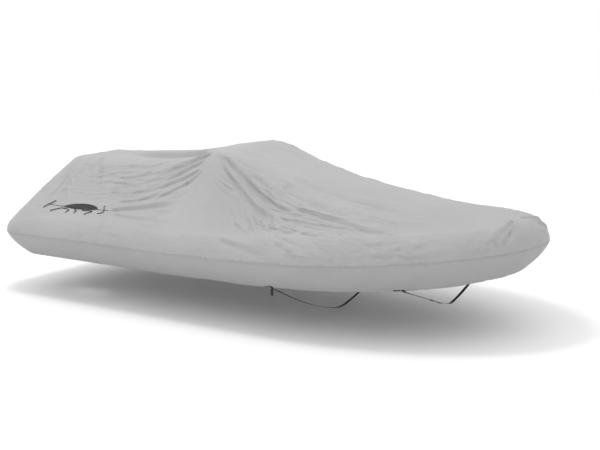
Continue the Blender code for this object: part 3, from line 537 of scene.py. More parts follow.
# Small wrinkles lie in bands: where, how steeply they climb with "along", how many, and their size.
wrinkles = {
    "columns": ("fromAlong", "toAlong", "low", "high", "slope", "turn", "count", "length", "width", "height"),
    "bands": (
        (2.05, 3.05, 0.66, 1.08, 0.06, 0.05, 90, 0.47, 0.0110, 0.0039),
        (2.70, 3.50, 0.60, 1.08, 0.28, 0.08, 44, 0.36, 0.0110, 0.0037),
        (2.45, 3.40, 0.16, 0.50, 0.05, 0.12, 24, 0.26, 0.0140, 0.0024),
        (3.90, 4.75, 0.74, 1.10, -0.45, 0.08, 46, 0.34, 0.0115, 0.0038),
        (4.15, 4.90, 0.26, 0.62, -0.85, 0.16, 44, 0.34, 0.0130, 0.0030),
        (4.60, 5.55, 0.42, 0.94, -0.14, 0.06, 84, 0.50, 0.0110, 0.0036),
        (4.75, 5.70, 0.20, 0.48, -0.35, 0.15, 40, 0.36, 0.0130, 0.0030),
        (5.40, 6.10, 0.32, 0.72, -0.42, 0.10, 26, 0.26, 0.0130, 0.0038),
        (4.70, 5.60, 0.03, 0.26, -0.10, 0.25, 44, 0.20, 0.0105, 0.0034),
        (5.60, 6.35, 0.03, 0.28, 0.22, 0.25, 64, 0.20, 0.0105, 0.0043),
        (6.70, 7.20, 0.04, 0.26, 0.90, 0.22, 28, 0.20, 0.0105, 0.0041),
        (6.30, 6.90, 0.04, 0.40, 0.10, 1.20, 18, 0.16, 0.0140, 0.0022),
        (1.20, 1.80, 0.50, 1.10, -0.20, 0.50, 24, 0.22, 0.0140, 0.0038),
        (0.10, 1.20, 0.18, 0.80, 0.10, 0.50, 36, 0.26, 0.0150, 0.0035),
        (1.20, 2.60, 0.04, 0.34, 0.05, 0.15, 30, 0.24, 0.0130, 0.0024),
        (3.30, 4.60, 0.04, 0.22, -0.05, 0.20, 22, 0.22, 0.0130, 0.0022),
        (1.80, 5.60, 1.20, 1.45, -0.02, 0.15, 30, 0.50, 0.0400, 0.0014),
    ),
    "halfLengths": (0.3, 0.8),  # shares of the length, width and height above
    "bows": (-0.06, 0.06),
    "widths": (0.8, 1.3),
    "heights": (0.35, 1.15),
    "leans": (1, 1, -1, 0),
    "most": 0.0042,  # where several cross
    "seamEase": 0.05,
    "seed": {"starboard": 4, "port": 11},
}

# The seam's thread draws the cloth up in puckers. Each has its own reach above the seam and below it.
puckers = {
    "count": 190,  # each side
    "reaches": (0.04, 0.11),
    "leans": (-0.5, 0.5),
    "heights": (-0.0024, 0.0018),
    "width": 0.013,
    "clearEnds": 0.03,
    "endEase": 0.08,
    "seed": {"starboard": 54, "port": 61},
}

nose = {"start": 6.82, "ease": 0.30, "up": 0.33, "fall": 0.28, "out": 0.008, "reach": 0.070}

foldForm = {
    "pieces": 12,  # straight pieces in its line
    "reach": 4,  # widths away, where it is nothing
    "startWidth": 0.55,  # a fold opens out as it leaves what pulls it
    "widening": 0.85,
    "trough": 0.35,  # beside a ridge
    "troughWidth": 2.2,
    "startEase": 0.09,  # shares of its length
    "endEase": 0.30,
}


def foldHeight(along, up, start, middle, end, width, height, lean):
    t = np.linspace(0, 1, foldForm["pieces"] + 1)[:, None]
    bend = 2 * np.array(middle) - 0.5 * (np.array(start) + np.array(end))
    curve = (1 - t) ** 2 * np.array(start) + 2 * t * (1 - t) * bend + t**2 * np.array(end)
    low = curve.min(0) - foldForm["reach"] * width
    high = curve.max(0) + foldForm["reach"] * width
    firstRow, lastRow = np.searchsorted(along[:, 0], (low[0], high[0]))
    near = np.zeros(along.shape, bool)
    near[firstRow:lastRow] = (up[firstRow:lastRow] > low[1]) & (up[firstRow:lastRow] < high[1])
    result = np.zeros(along.shape)
    if not near.any():
        return result
    point = np.stack([along[near], up[near]], -1)
    away = np.full(len(point), 1e9)
    share = np.zeros(len(point))
    side = np.zeros(len(point))
    for k in range(len(curve) - 1):
        a, run = curve[k], curve[k + 1] - curve[k]
        s = np.clip(((point - a) @ run) / (run @ run), 0, 1)
        gap = point - a - s[:, None] * run
        distance = np.hypot(*gap.T)
        closer = distance < away
        away = np.where(closer, distance, away)
        share = np.where(closer, (k + s) / (len(curve) - 1), share)
        turn = np.sign(run[0] * gap[:, 1] - run[1] * gap[:, 0]) * math.copysign(1, run[0])
        side = np.where(closer, turn, side)
    reach = away * side / (width * (foldForm["startWidth"] + foldForm["widening"] * share))
    step = reach * np.exp(0.5 - 0.5 * reach**2)
    ridge = np.exp(-(reach**2)) - foldForm["trough"] * np.exp(-((reach / foldForm["troughWidth"]) ** 2))
    shape = lean * step + (1 - abs(lean)) * ridge
    ends = smoothStep(share / foldForm["startEase"]) * smoothStep((1 - share) / foldForm["endEase"])
    result[near] = height * shape * ends
    return result


def clearOfEnds(along, ease):
    return smoothStep(along / ease) * smoothStep((plan["endAlong"] - along) / ease)


def noseHeight(along, up):  # the cloth stands out along the bow's upper edge
    edge = nose["up"] - nose["fall"] * (plan["endAlong"] - along)
    across = np.exp(-(((up - edge) / nose["reach"]) ** 2))
    return nose["out"] * across * smoothStep((along - nose["start"]) / nose["ease"])


def puckerHeight(along, up, side):  # runs on over the seam, so that the crown and the skirt stay together
    total = np.zeros(along.shape)
    rng = np.random.default_rng(puckers["seed"][side])
    for _ in range(puckers["count"]):
        at = rng.uniform(puckers["clearEnds"], plan["endAlong"] - puckers["clearEnds"])
        top, low = rng.uniform(*puckers["reaches"], 2)
        lean = rng.uniform(*puckers["leans"]) * top
        height = rng.uniform(*puckers["heights"])
        total += foldHeight(
            along, up, (at - lean, -low), (at, 0.0), (at + lean, top), puckers["width"], height, 0)
    return total * clearOfEnds(along, puckers["endEase"])


def clothHeight(along, up, side):
    total = np.zeros(along.shape)
    for a1, u1, a2, u2, a3, u3, width, height, lean in folds[side] + folds["both"]:
        total += foldHeight(along, up, (a1, u1), (a2, u2), (a3, u3), width, height, lean)
    rng = np.random.default_rng(wrinkles["seed"][side])
    fine = np.zeros(along.shape)
    for values in wrinkles["bands"]:
        row = dict(zip(wrinkles["columns"], values))
        for _ in range(row["count"]):
            at = rng.uniform(row["fromAlong"], row["toAlong"])
            middle = np.array((at, rng.uniform(row["low"], row["high"])))
            angle = math.atan(row["slope"]) + rng.normal(0, row["turn"])
            way = np.array((math.cos(angle), math.sin(angle)))
            half = way * row["length"] * rng.uniform(*wrinkles["halfLengths"])
            bow = middle + np.array((-way[1], way[0])) * row["length"] * rng.uniform(*wrinkles["bows"])
            width = row["width"] * rng.uniform(*wrinkles["widths"])
            height = row["height"] * rng.uniform(*wrinkles["heights"])
            lean = rng.choice(wrinkles["leans"])
            fine += foldHeight(along, up, middle - half, bow, middle + half, width, height, lean)
    total += wrinkles["most"] * np.tanh(fine / wrinkles["most"])
    total *= smoothStep((up - skirt["underLap"]) / wrinkles["seamEase"])
    return total + puckerHeight(along, up, side) + noseHeight(along, up)


# Cloth

# Coated polyester: a plain weave of 600 denier yarn with a coating on its inner face. The yarn makes it
# matt with a faint sheen at a glancing angle, and the coating makes it stiff enough to crease.
clothFinish = {
    "light": "#a7a6a7",
    "dark": "#9e9d9e",
    "stains": ((1.6, 5.0, 0.6), (14.0, 6.0, 0.7)),  # large and small: scale, detail and roughness
    "smallShare": 0.45,
    "stainRange": (0.45, 1.0),
    "roughness": 0.82,
    "thread": 0.0045,  # metres; real threads are 0.5 mm apart, too fine to show, so they are drawn coarser
    "threadHeight": 0.00025,
    "creasePitch": 0.045,
    "fanLength": 0.40,
    "sideLength": 0.25,
    "creaseHeight": 0.008,
    # painted shade: the colour is multiplied by this in the creases, under the top edge and on the skirt
    "paintedShadeTint": (0.90, 0.90, 0.90, 1.0),
}


def ripples(tree, mapName, waves):  # a sine for each wave: how many there are to a unit of the map each way
    place = addNode(tree, "ShaderNodeUVMap", {"uv_map": mapName})
    heights = []
    for counts in waves:
        turns = [2 * math.pi * count for count in counts]
        phase = addNode(tree, "ShaderNodeVectorMath", {"operation": "DOT_PRODUCT"}, {
            0: place.outputs["UV"], 1: (*turns, 0)})
        wave = addNode(tree, "ShaderNodeMath", {"operation": "SINE"}, {0: phase.outputs["Value"]})
        heights.append(wave.outputs[0])
    return heights


def clothMaterial():
    material, tree, shader = newMaterial(
        "coated polyester", clothFinish["light"], clothFinish["roughness"],
        Sheen_Weight=0.12, Sheen_Roughness=0.5, Specular_IOR_Level=0.3,
    )
    place = addNode(tree, "ShaderNodeTexCoord")
    stains = []
    for scale, detail, roughness in clothFinish["stains"]:
        stains.append(addNode(tree, "ShaderNodeTexNoise", {}, {
            "Vector": place.outputs["Object"], "Scale": scale, "Detail": detail, "Roughness": roughness}))
    both = addNode(tree, "ShaderNodeMath", {"operation": "MULTIPLY_ADD"}, {
        0: stains[1].outputs["Fac"], 1: clothFinish["smallShare"], 2: stains[0].outputs["Fac"]})
    darkest, lightest = clothFinish["stainRange"]
    ramp = addNode(tree, "ShaderNodeMapRange", {}, {
        "Value": both.outputs[0], "From Min": darkest, "From Max": lightest})
    colour = addNode(tree, "ShaderNodeMix", {"data_type": "RGBA"}, {
        "Factor": ramp.outputs["Result"],
        6: linearColour(clothFinish["dark"]), 7: linearColour(clothFinish["light"])})
    paintedShade = addNode(tree, "ShaderNodeAttribute", {"attribute_name": "paintedShade"})  # painted shade, in the creases, under the top edge and on the skirt
    shaded = addNode(tree, "ShaderNodeMix", {"data_type": "RGBA", "blend_type": "MULTIPLY"}, {
        "Factor": paintedShade.outputs["Fac"], 6: colour.outputs[2], 7: clothFinish["paintedShadeTint"]})
    tree.links.new(shaded.outputs[2], shader.inputs["Base Color"])

    threads = 1 / clothFinish["thread"]
    warp, weft = ripples(tree, "cloth", ((threads, 0), (0, threads)))
    weave = addNode(tree, "ShaderNodeMath", {"operation": "MULTIPLY"}, {0: warp, 1: weft})
    bump = addNode(tree, "ShaderNodeBump", {}, {
        "Height": weave.outputs[0], "Strength": 0.5, "Distance": clothFinish["threadHeight"]})
    creases = 1 / clothFinish["creasePitch"]
    for mapName, strength, scale in (
        ("fan", "fanCreases", (creases, 1 / clothFinish["fanLength"], 1)),
        ("cloth", "sideCreases", (1 / clothFinish["sideLength"], creases, 1)),
    ):
        strength = addNode(tree, "ShaderNodeAttribute", {"attribute_name": strength})
        lines = addNode(tree, "ShaderNodeUVMap", {"uv_map": mapName})
        stretched = addNode(tree, "ShaderNodeMapping", {}, {"Vector": lines.outputs["UV"], "Scale": scale})
        noise = addNode(tree, "ShaderNodeTexNoise", {
            "noise_dimensions": "2D", "noise_type": "RIDGED_MULTIFRACTAL", "normalize": True}, {
            "Vector": stretched.outputs["Vector"],
            "Scale": 1.0, "Detail": 2.0, "Roughness": 0.5, "Distortion": 0.5})
        height = addNode(tree, "ShaderNodeMath", {"operation": "MULTIPLY"}, {
            0: noise.outputs["Fac"], 1: strength.outputs["Fac"]})
        bump = addNode(tree, "ShaderNodeBump", {}, {
            "Height": height.outputs[0], "Distance": clothFinish["creaseHeight"], "Strength": 1.0,
            "Normal": bump.outputs["Normal"]})
    tree.links.new(bump.outputs["Normal"], shader.inputs["Normal"])
    return material


cloth = clothMaterial()

crown = {
    "thickness": 0.0012,
    "seamWidth": 0.016,  # the turned-in edge along the seam stands a little proud
    "seamRise": 0.0006,
    "seamEase": 0.006,
    "middleEase": 0.06,  # the folds fade out at the middle, where the two sides meet
    "console": (3.65, 1.16),  # along and up, where the folds meet
    "mapsApart": 7,  # keeps the creases of the two sides different
    # the next two set the painted shade in the creases: how far the cloth is smoothed to find them, and the
    # depth that gets the darkest shade
    "hollowReach": 5,  # fine stations
    "hollowDepth": 0.0080,
    "weld": 0.00002,
    "layerFaces": 90000,  # triangles kept in one face of the cloth
}

# Where the finest creases lie and how strong they are, with the distance that each limit takes to fade.
# The angle is round the console's corner, from straight down.
fineCreases = {
    # strength, then from, to and fade of "along", of "up" and of the angle in degrees
    "fan": (
        (1.0, 2.10, 3.62, 0.20, 0.52, 1.12, 0.12, 55, 95, 20),
        (1.0, 3.70, 4.95, 0.10, 0.30, 1.12, 0.15, 48, 88, 16),
    ),
    "side": (  # at any angle
        (0.9, 4.65, 6.05, 0.30, 0.22, 0.98, 0.15),
        (0.8, 4.70, 6.35, 0.15, 0.02, 0.27, 0.04),
        (0.6, 0.05, 2.00, 0.20, 0.15, 1.10, 0.15),
    ),
    "everywhere": {"fan": 0.05, "side": 0.12},
}

# Painted shade in a band just under the top edge, aft of the console, where the top sags.
paintedShading = {
    "amount": 0.9,
    "aft": 1.80,
    "fore": 3.50,
    "endFade": 0.20,
    "low": (1.08, 0.14, 0.04),  # its lower edge, up at the fore end, and how it climbs and bends going aft
    "lowFade": 0.07,
    "high": 1.80,
    "highFade": 0.20,
}


def within(value, low, high, fade):
    return smoothStep((value - low) / fade + 0.5) * smoothStep((high - value) / fade + 0.5)


def creasingHere(along, up):  # how strong the finest creases are: those of the fans, and those along the side
    angle = np.degrees(np.arctan2(np.abs(along - crown["console"][0]), crown["console"][1] - up))
    strengths = []
    for name in ("fan", "side"):
        total = np.full(along.shape, fineCreases["everywhere"][name])
        for strength, *limits in fineCreases[name]:
            here = strength
            for value, k in zip((along, up, angle), range(0, len(limits), 3)):
                here = here * within(value, *limits[k:k + 3])
            total += here
        strengths.append(total)
    return strengths


# painted shade, darkest just under the top edge aft of the console
def shadeBelowTopEdge(along, up):
    aft = paintedShading["fore"] - along
    start, climb, bend = paintedShading["low"]
    low = start + climb * aft + bend * aft**2
    upHere = smoothStep((up - low) / paintedShading["lowFade"]) * smoothStep((paintedShading["high"] - up) / paintedShading["highFade"])
    return paintedShading["amount"] * upHere * within(along, paintedShading["aft"], paintedShading["fore"], paintedShading["endFade"])


def crownSide(along, side):
    grid = crownGrid(along)
    up = upTheCloth(grid)
    alongs = np.repeat(along[:, None], grid.shape[1], 1)
    normal = gridNormals(grid)
    middle = np.abs(grid[..., 1]) < 1e-6  # both halves meet here
    normal[middle, 1] = 0
    height = clothHeight(alongs, up, side) * smoothStep((up[:, -1:] - up) / crown["middleEase"])
    height += crown["seamRise"] * smoothStep((crown["seamWidth"] - up) / crown["seamEase"])
    return grid + height[..., None] * unit(normal), up, alongs


def lipGap(x, along):
    inside = (along > slit["start"] + 1e-6) & (along < slit["end"] - 1e-6)
    foot = np.clip((x - slit["footStart"]) / (slit["footEnd"] - slit["footStart"]), 0, 1)
    bulge = np.sin(math.pi * foot) ** slit["footFullness"]
    closing = np.clip(np.minimum(along - slit["start"], slit["end"] - along) / slit["closing"], 0, 1)
    below, above = (np.where(inside, slit["halfGap"] * closing + slit[name] * bulge, 0)
                    for name in ("footBelow", "footAbove"))
    return below, above


def hollowness(grid):  # how much painted shade a crease gets: 0 on open cloth, up to 1 at the bottom of a crease
    soft = grid
    reach = crown["hollowReach"]
    for axis in (0, 1):
        ends = [(reach, reach) if k == axis else (0, 0) for k in range(3)]
        sums = np.cumsum(np.insert(np.pad(soft, ends, mode="edge"), 0, 0, axis), axis)
        ahead = np.take(sums, range(2 * reach + 1, sums.shape[axis]), axis)
        soft = (ahead - np.take(sums, range(ahead.shape[axis]), axis)) / (2 * reach + 1)
    depth = ((soft - grid) * gridNormals(grid)).sum(-1)
    return np.clip(depth / crown["hollowDepth"], 0, 1)


def makeCrown():
    along = np.linspace(0, plan["endAlong"], fineSteps["stations"])
    for name in ("start", "end"):
        along[np.abs(along - slit[name]).argmin()] = slit[name]
    points, faces = [], []
    maps = {"cloth": [], "fan": []}
    values = {"fanCreases": [], "sideCreases": [], "paintedShade": []}
    for side in bothSides:
        grid, up, alongs = crownSide(along, side)
        # painted shade: darker at the bottom of the creases and in a band under the top edge
        shadeAmount = np.clip(hollowness(grid) + shadeBelowTopEdge(alongs, up), 0, 1)
        below, above = lipGap(grid[:, slitRow, 0], along)
        away = smoothStep(1 - np.abs(up - up[:, slitRow:slitRow + 1]) / slit["easing"])
        flip = -1 if side == "port" else 1
        for part, opening in ((slice(slitRow + 1), -below), (slice(slitRow, None), above)):
            drawn = up[:, part] + opening[:, None] * away[:, part]
            patch = np.array([placesAt(grid[k], up[k], drawn[k]) for k in range(len(along))])
            faces += gridFaces(*patch.shape[:2], first=len(points), turned=side == "port")
            points.extend(onSide(patch, side).reshape(-1, 3))
            across = flip * (up[:, -1:] - up[:, part])
            maps["cloth"].extend(np.stack([alongs[:, part], across], -1).reshape(-1, 2))
            ahead, under = alongs[:, part] - crown["console"][0], crown["console"][1] - up[:, part]
            angle = np.arctan2(ahead, under) + crown["mapsApart"] * flip
            maps["fan"].extend(np.stack([angle, np.hypot(ahead, under)], -1).reshape(-1, 2))
            for name, more in zip(values, (*creasingHere(alongs[:, part], up[:, part]), shadeAmount[:, part])):
                values[name].extend(more.ravel())
    piece = newPiece("crownCloth", points, faces, cloth, maps, values)
    changeMesh(piece, lambda shape: bmesh.ops.remove_doubles(shape, verts=shape.verts, dist=crown["weld"]))
    thinning = piece.modifiers.new("fewer faces where it is smooth", "DECIMATE")
    thinning.ratio = crown["layerFaces"] / (2 * len(piece.data.polygons))
    return makePlain(piece)


skirt = {
    "thickness": 0.0012,
    "drop": 0.31,  # about what it measures down the cloth
    "stations": 640,
    "joinGap": 0.001,  # between the two strips
    "underLap": 0.014,  # up inside the crown
    "lapGap": 0.0012,
    "lapEase": 0.12,  # shares of the way down, as the hem's are
    "hemTop": 0.860,
    "hemEase": 0.008,
    "hemFoot": (1.02, 0.03),
    "hemRows": (0.850, 0.860, 0.864, 0.868, 0.90, 0.94, 0.975, 0.992, 1.0),
    "hemStep": 0.0011,
    "creases": {"fanCreases": 0.05, "sideCreases": 0.25},
    "mapStart": 2,  # clear of the crown's map
    "paintedShading": (0.36, 0.225),  # painted shade: how dark it is at the seam, and how much darker at the hem
}

# Soft vertical folds that deepen towards the hem, deepest round the bow and the stern
skirtWaves = {
    "count": 44,
    "leans": (-0.12, 0.12),
    "widths": (0.025, 0.07),
    "depth": 0.006,
    "heights": (-0.6, 0.5),  # shares of the depth
    "sideFrom": 1.3,
    "sideTo": 5.2,
    "sideShare": 0.45,
    "deepening": 1.5,
    "endEase": 0.1,
    "seed": {"starboard": 3, "port": 8},
}


def skirtWave(along, down, side):
    rng = np.random.default_rng(skirtWaves["seed"][side])
    total = np.zeros(np.broadcast_shapes(along.shape, down.shape))
    for _ in range(skirtWaves["count"]):
        at = rng.uniform(0, plan["endAlong"])
        lean = rng.uniform(*skirtWaves["leans"])
        width = rng.uniform(*skirtWaves["widths"])
        height = skirtWaves["depth"] * rng.uniform(*skirtWaves["heights"])
        if skirtWaves["sideFrom"] <= at <= skirtWaves["sideTo"]:
            height *= skirtWaves["sideShare"]
        across = np.exp(-(((along - at - lean * down) / width) ** 2))
        total = total + height * across * down ** skirtWaves["deepening"]
    return total * clearOfEnds(along, skirtWaves["endEase"])


def skirtSurface(side):  # how far along and down its points lie, the points and the way the cloth faces
    drop = skirt["drop"]
    lap = skirt["underLap"] / drop
    along = np.linspace(0, plan["endAlong"], skirt["stations"])
    rows = np.array([
        -lap, -0.5 * lap, *np.linspace(0, 0.1, 5)[:-1], *np.linspace(0.1, 0.85, 18)[:-1], *skirt["hemRows"]])
    down = np.repeat(rows[None], len(along), 0)
    alongs = np.repeat(along[:, None], len(rows), 1)
    grid = skirtGrid(along, np.maximum(down, 0))
    grid[..., 2] += np.maximum(-down, 0) * drop
    normal = gridNormals(grid[:, ::-1])[:, ::-1]
    height = skirtWave(along[:, None], np.maximum(down, 0), side)
    height = height + puckerHeight(alongs, -drop * down, side) + noseHeight(alongs, -drop * down)
    height = height - skirt["lapGap"] * (1 - smoothStep(down / skirt["lapEase"]))
    foot, footEase = skirt["hemFoot"]
    hem = smoothStep((down - skirt["hemTop"]) / skirt["hemEase"]) * smoothStep((foot - down) / footEase)
    grid = grid + (height + skirt["hemStep"] * hem)[..., None] * normal
    grid[0, :, 1] = grid[-1, :, 1] = -skirt["joinGap"] / 2
    return alongs, down, grid, gridNormals(grid[:, ::-1])[:, ::-1]


def makeSkirt(side):
    alongs, down, grid, _ = skirtSurface(side)
    flip = -1 if side == "port" else 1
    clothMap = np.stack([alongs, flip * (skirt["mapStart"] + down * skirt["drop"])], -1).reshape(-1, 2)
    values = {name: np.full(down.size, strength) for name, strength in skirt["creases"].items()}
    # painted shade, darker towards the hem
    values["paintedShade"] = skirt["paintedShading"][0] + skirt["paintedShading"][1] * down.ravel()
    piece = newPiece(
        f"skirt{side.capitalize()}", onSide(grid, side).reshape(-1, 3),
        gridFaces(*grid.shape[:2], turned=side == "starboard"),
        cloth, {"cloth": clothMap, "fan": clothMap[:, ::-1]}, values)
    thicken(piece, skirt["thickness"])
    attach(piece, "root")
    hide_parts(f"skirt_{side}")


# Places by the slits, for holes and lacing

holes = {
    "radius": 0.0065,
    "sides": 12,
    "near": 0.05,  # the cloth that is cut
    "axis": 0.01,
    "inside": 1.04,  # radii
    "lower": ((0.595, -0.065), (0.758, -0.110), (1.005, -0.105), (1.125, -0.095), (1.300, -0.110)),  # x, up
    "upper": ((0.665, 0.060), (1.435, 0.060)),
}

slitPlaces = {"from": 1.40, "to": 2.70, "step": 0.02}  # along


def placeFinder(side):  # gives points near the slit: x, distance up from the slit and height over the cloth
    step = slitPlaces["step"]
    along = np.arange(slitPlaces["from"], slitPlaces["to"], step)
    grid, up, _ = crownSide(np.concatenate([[along[0] - step], along, [along[-1] + step]]), side)
    normal = gridNormals(grid)
    roundQuarter = plan["halfBeam"] - plan["quarter"] * (1 - math.pi / 2)

    def find(x, above, lift):
        here = (roundQuarter + x - plan["stern"] - plan["quarter"] - along[0]) / step + 1
        k = int(here)
        ends = []
        for row in (k, k + 1):
            value = up[row, slitRow] + above
            ends.append([placesAt(source[row], up[row], value) for source in (grid, normal)])
        place, facing = (1 - here + k) * np.array(ends[0]) + (here - k) * np.array(ends[1])
        return onSide(place + lift * unit(facing), side)

    return find


finders = {side: placeFinder(side) for side in bothSides}
print("surface ready")


def cutHoles(shape):
    for side in bothSides:
        for x, above in holes["lower"] + holes["upper"]:
            middle, outer = (finders[side](x, above, lift) - origin for lift in (0, holes["axis"]))
            axis = unit(outer - middle)
            first = unit(np.cross(axis, (1, 0, 0)))
            second = np.cross(axis, first)
            near = [vert for vert in shape.verts if (vert.co - Vector(middle)).length < holes["near"]]
            faces = {face for vert in near for face in vert.link_faces}
            for turn in np.arange(holes["sides"]) * 2 * math.pi / holes["sides"]:
                away = math.cos(turn) * first + math.sin(turn) * second
                edges = {edge for face in faces for edge in face.edges}
                verts = {vert for face in faces for vert in face.verts}
                cut = bmesh.ops.bisect_plane(
                    shape, geom=[*faces, *edges, *verts], dist=1e-6,
                    plane_co=tuple(middle + holes["radius"] * away), plane_no=tuple(away))
                faces = {item for item in cut["geom"] if isinstance(item, bmesh.types.BMFace)}
            limit = holes["inside"] * holes["radius"]
            inside = [face for face in faces if (face.calc_center_median() - Vector(middle)).length < limit]
            bmesh.ops.delete(shape, geom=inside, context="FACES")


crownPiece = makeCrown()
changeMesh(crownPiece, cutHoles)
thicken(crownPiece, crown["thickness"])
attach(crownPiece, "root")
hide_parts("crown")
print("crown made:", len(crownPiece.data.polygons), "faces")

for side in bothSides:
    makeSkirt(side)
print("skirts made")


# Stitches

# Lockstitch in two rows along each side's seam and one along each hem
stitching = {
    "pitch": 0.0095,  # real ones are about 3 mm long, too fine to show, so they are drawn coarser
    "length": 0.0072,
    "thread": 0.0007,
    "unevenness": 0.05,  # radians
    "rows": (0.0050, 0.0125),  # above the seam
    "hemRow": 0.875,  # share of the way down the skirt
    "proud": 0.0005,
    "reach": 0.004,  # each way, over which its direction is taken
    "stations": 1470,
    "clearEnds": 0.01,
    "seed": 6,
    "colour": "#9d9c9d",
}


def stitchTree(material):
    tree = bpy.data.node_groups.new("stitch row", "GeometryNodeTree")
    tree.interface.new_socket(name="Points", in_out="INPUT", socket_type="NodeSocketGeometry")
    for name, kind, value in (
        ("Thread radius", "NodeSocketFloat", stitching["thread"]),
        ("Stitch length", "NodeSocketFloat", stitching["length"]),
        ("Unevenness", "NodeSocketFloat", stitching["unevenness"]),
        ("Seed", "NodeSocketInt", stitching["seed"]),
    ):
        tree.interface.new_socket(name=name, in_out="INPUT", socket_type=kind).default_value = value
    tree.interface.new_socket(name="Stitches", in_out="OUTPUT", socket_type="NodeSocketGeometry")
    given = addNode(tree, "NodeGroupInput").outputs
    grain = addNode(tree, "GeometryNodeMeshIcoSphere", {}, {"Radius": 1.0, "Subdivisions": 1})
    half = addNode(tree, "ShaderNodeMath", {"operation": "MULTIPLY"}, {0: given["Stitch length"], 1: 0.5})
    size = addNode(tree, "ShaderNodeCombineXYZ", {}, {
        0: given["Thread radius"], 1: given["Thread radius"], 2: half.outputs[0]})
    stitch = addNode(tree, "GeometryNodeTransform", {}, {
        "Geometry": grain.outputs["Mesh"], "Scale": size.outputs[0]})
    way = addNode(tree, "GeometryNodeInputNamedAttribute", {"data_type": "FLOAT_VECTOR"}, {"Name": "way"})
    turned = addNode(tree, "FunctionNodeAlignRotationToVector", {"axis": "Z"}, {
        "Vector": way.outputs["Attribute"]})
    placed = addNode(tree, "GeometryNodeInstanceOnPoints", {}, {
        "Points": given["Points"], "Instance": stitch.outputs["Geometry"],
        "Rotation": turned.outputs["Rotation"]})
    low = addNode(tree, "ShaderNodeMath", {"operation": "MULTIPLY"}, {0: given["Unevenness"], 1: -1.0})
    lows = addNode(tree, "ShaderNodeCombineXYZ", {}, {0: low.outputs[0], 1: low.outputs[0]})
    highs = addNode(tree, "ShaderNodeCombineXYZ", {}, {0: given["Unevenness"], 1: given["Unevenness"]})
    nudge = addNode(tree, "FunctionNodeRandomValue", {"data_type": "FLOAT_VECTOR"}, {
        0: lows.outputs[0], 1: highs.outputs[0], "Seed": given["Seed"]})
    uneven = addNode(tree, "GeometryNodeRotateInstances", {}, {
        "Instances": placed.outputs["Instances"], "Rotation": nudge.outputs[0]})
    real = addNode(tree, "GeometryNodeRealizeInstances", {}, {"Geometry": uneven.outputs["Instances"]})
    finish = addNode(tree, "GeometryNodeSetMaterial", {}, {
        "Geometry": real.outputs["Geometry"], "Material": material})
    addNode(tree, "NodeGroupOutput", {}, {"Stitches": finish.outputs["Geometry"]})
    return tree


# Bonded thread is smoother than the cloth, so it has a dull glint.
threadFinish = newMaterial("bonded polyester thread", stitching["colour"], 0.55, Sheen_Weight=0.15)[0]
stitchNodes = stitchTree(threadFinish)


def stitchRow(grid, normals, ups, height):  # even places at one height, and the way the row runs there
    line, normal = (np.array([placesAt(source[k], ups[k], height) for k in range(len(ups))])
                    for source in (grid, normals))
    length = lengthAlong(line)
    at = np.arange(stitching["pitch"] / 2, length[-1], stitching["pitch"])
    places = placesAt(line, length, at) + stitching["proud"] * unit(placesAt(normal, length, at))
    ahead, behind = (placesAt(line, length, at + step) for step in (stitching["reach"], -stitching["reach"]))
    return places, ahead - behind


def makeStitches(name, rows, side):
    places, ways = (onSide(np.concatenate(part), side) for part in zip(*rows))
    piece = newPiece(name, places, [], threadFinish)
    piece.data.attributes.new("way", "FLOAT_VECTOR", "POINT").data.foreach_set("vector", unit(ways).ravel())
    modifier = piece.modifiers.new("stitches", "NODES")
    modifier.node_group = stitchNodes
    for item in stitchNodes.interface.items_tree:
        if item.in_out == "INPUT" and item.name == "Stitch length":
            modifier[item.identifier] = stitching["length"]
    makePlain(piece)
    piece.data.attributes.remove(piece.data.attributes["way"])
    piece.data.shade_smooth()
    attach(piece, "root")


for side in bothSides:
    start, end = stitching["clearEnds"], plan["endAlong"] - stitching["clearEnds"]
    grid, up, _ = crownSide(np.linspace(start, end, stitching["stations"]), side)
    rows = [stitchRow(grid, gridNormals(grid), up, above) for above in stitching["rows"]]
    makeStitches(f"seamStitches{side.capitalize()}", rows, side)
    _, down, grid, normal = skirtSurface(side)
    row = stitchRow(grid[1:-1], normal[1:-1], down[1:-1], stitching["hemRow"])
    makeStitches(f"hemStitches{side.capitalize()}", [row], side)
print("stitches made")


# Lacing

# Plaited polyester cord: eight strands over a core, so its surface is a small diamond pattern.
lacing = {
    "radius": 0.0041,
    "sides": 10,
    "step": 0.004,
    "ends": ((-0.92, 0.40), (-0.6, 0.80)),  # radii back from the end, and the share of the radius there
    "over": 0.0050,
    "under": -0.0098,
    "overHole": (0.0075, 0.0025),  # at the bend beside a hole, and straight above the hole
    "underHole": (-0.0105, -0.0055),
    "bend": 0.012,
    "onLip": -0.0015,
    "strand": 0.009,  # metres along the cord for one crossing
    "strandHeight": 0.0006,
    "colour": "#1a1a1b",
}


def cordMaterial():
    material, tree, shader = newMaterial("plaited polyester cord", lacing["colour"], 0.75, Sheen_Weight=0.2)
    left, right = ripples(tree, "cord", ((4, 1 / lacing["strand"]), (4, -1 / lacing["strand"])))
    height = addNode(tree, "ShaderNodeMath", {"operation": "MAXIMUM"}, {0: left, 1: right})
    bump = addNode(tree, "ShaderNodeBump", {}, {
        "Height": height.outputs[0], "Distance": lacing["strandHeight"], "Strength": 0.8})
    tree.links.new(bump.outputs["Normal"], shader.inputs["Normal"])
    return material


cordFinish = cordMaterial()


def throughHole(before, hole, after, upwards):
    knots = []
    for place, last in ((before, False), (after, True)):
        lift, liftAtHole = lacing["overHole" if last == upwards else "underHole"]
        step = np.array(place[:2]) - np.array(hole)
        step *= lacing["bend"] / np.hypot(*step)
        bend = (hole[0] + step[0], hole[1] + step[1], lift)
        square = (*hole, liftAtHole)
        knots += [square, bend] if last else [bend, square]
    return knots


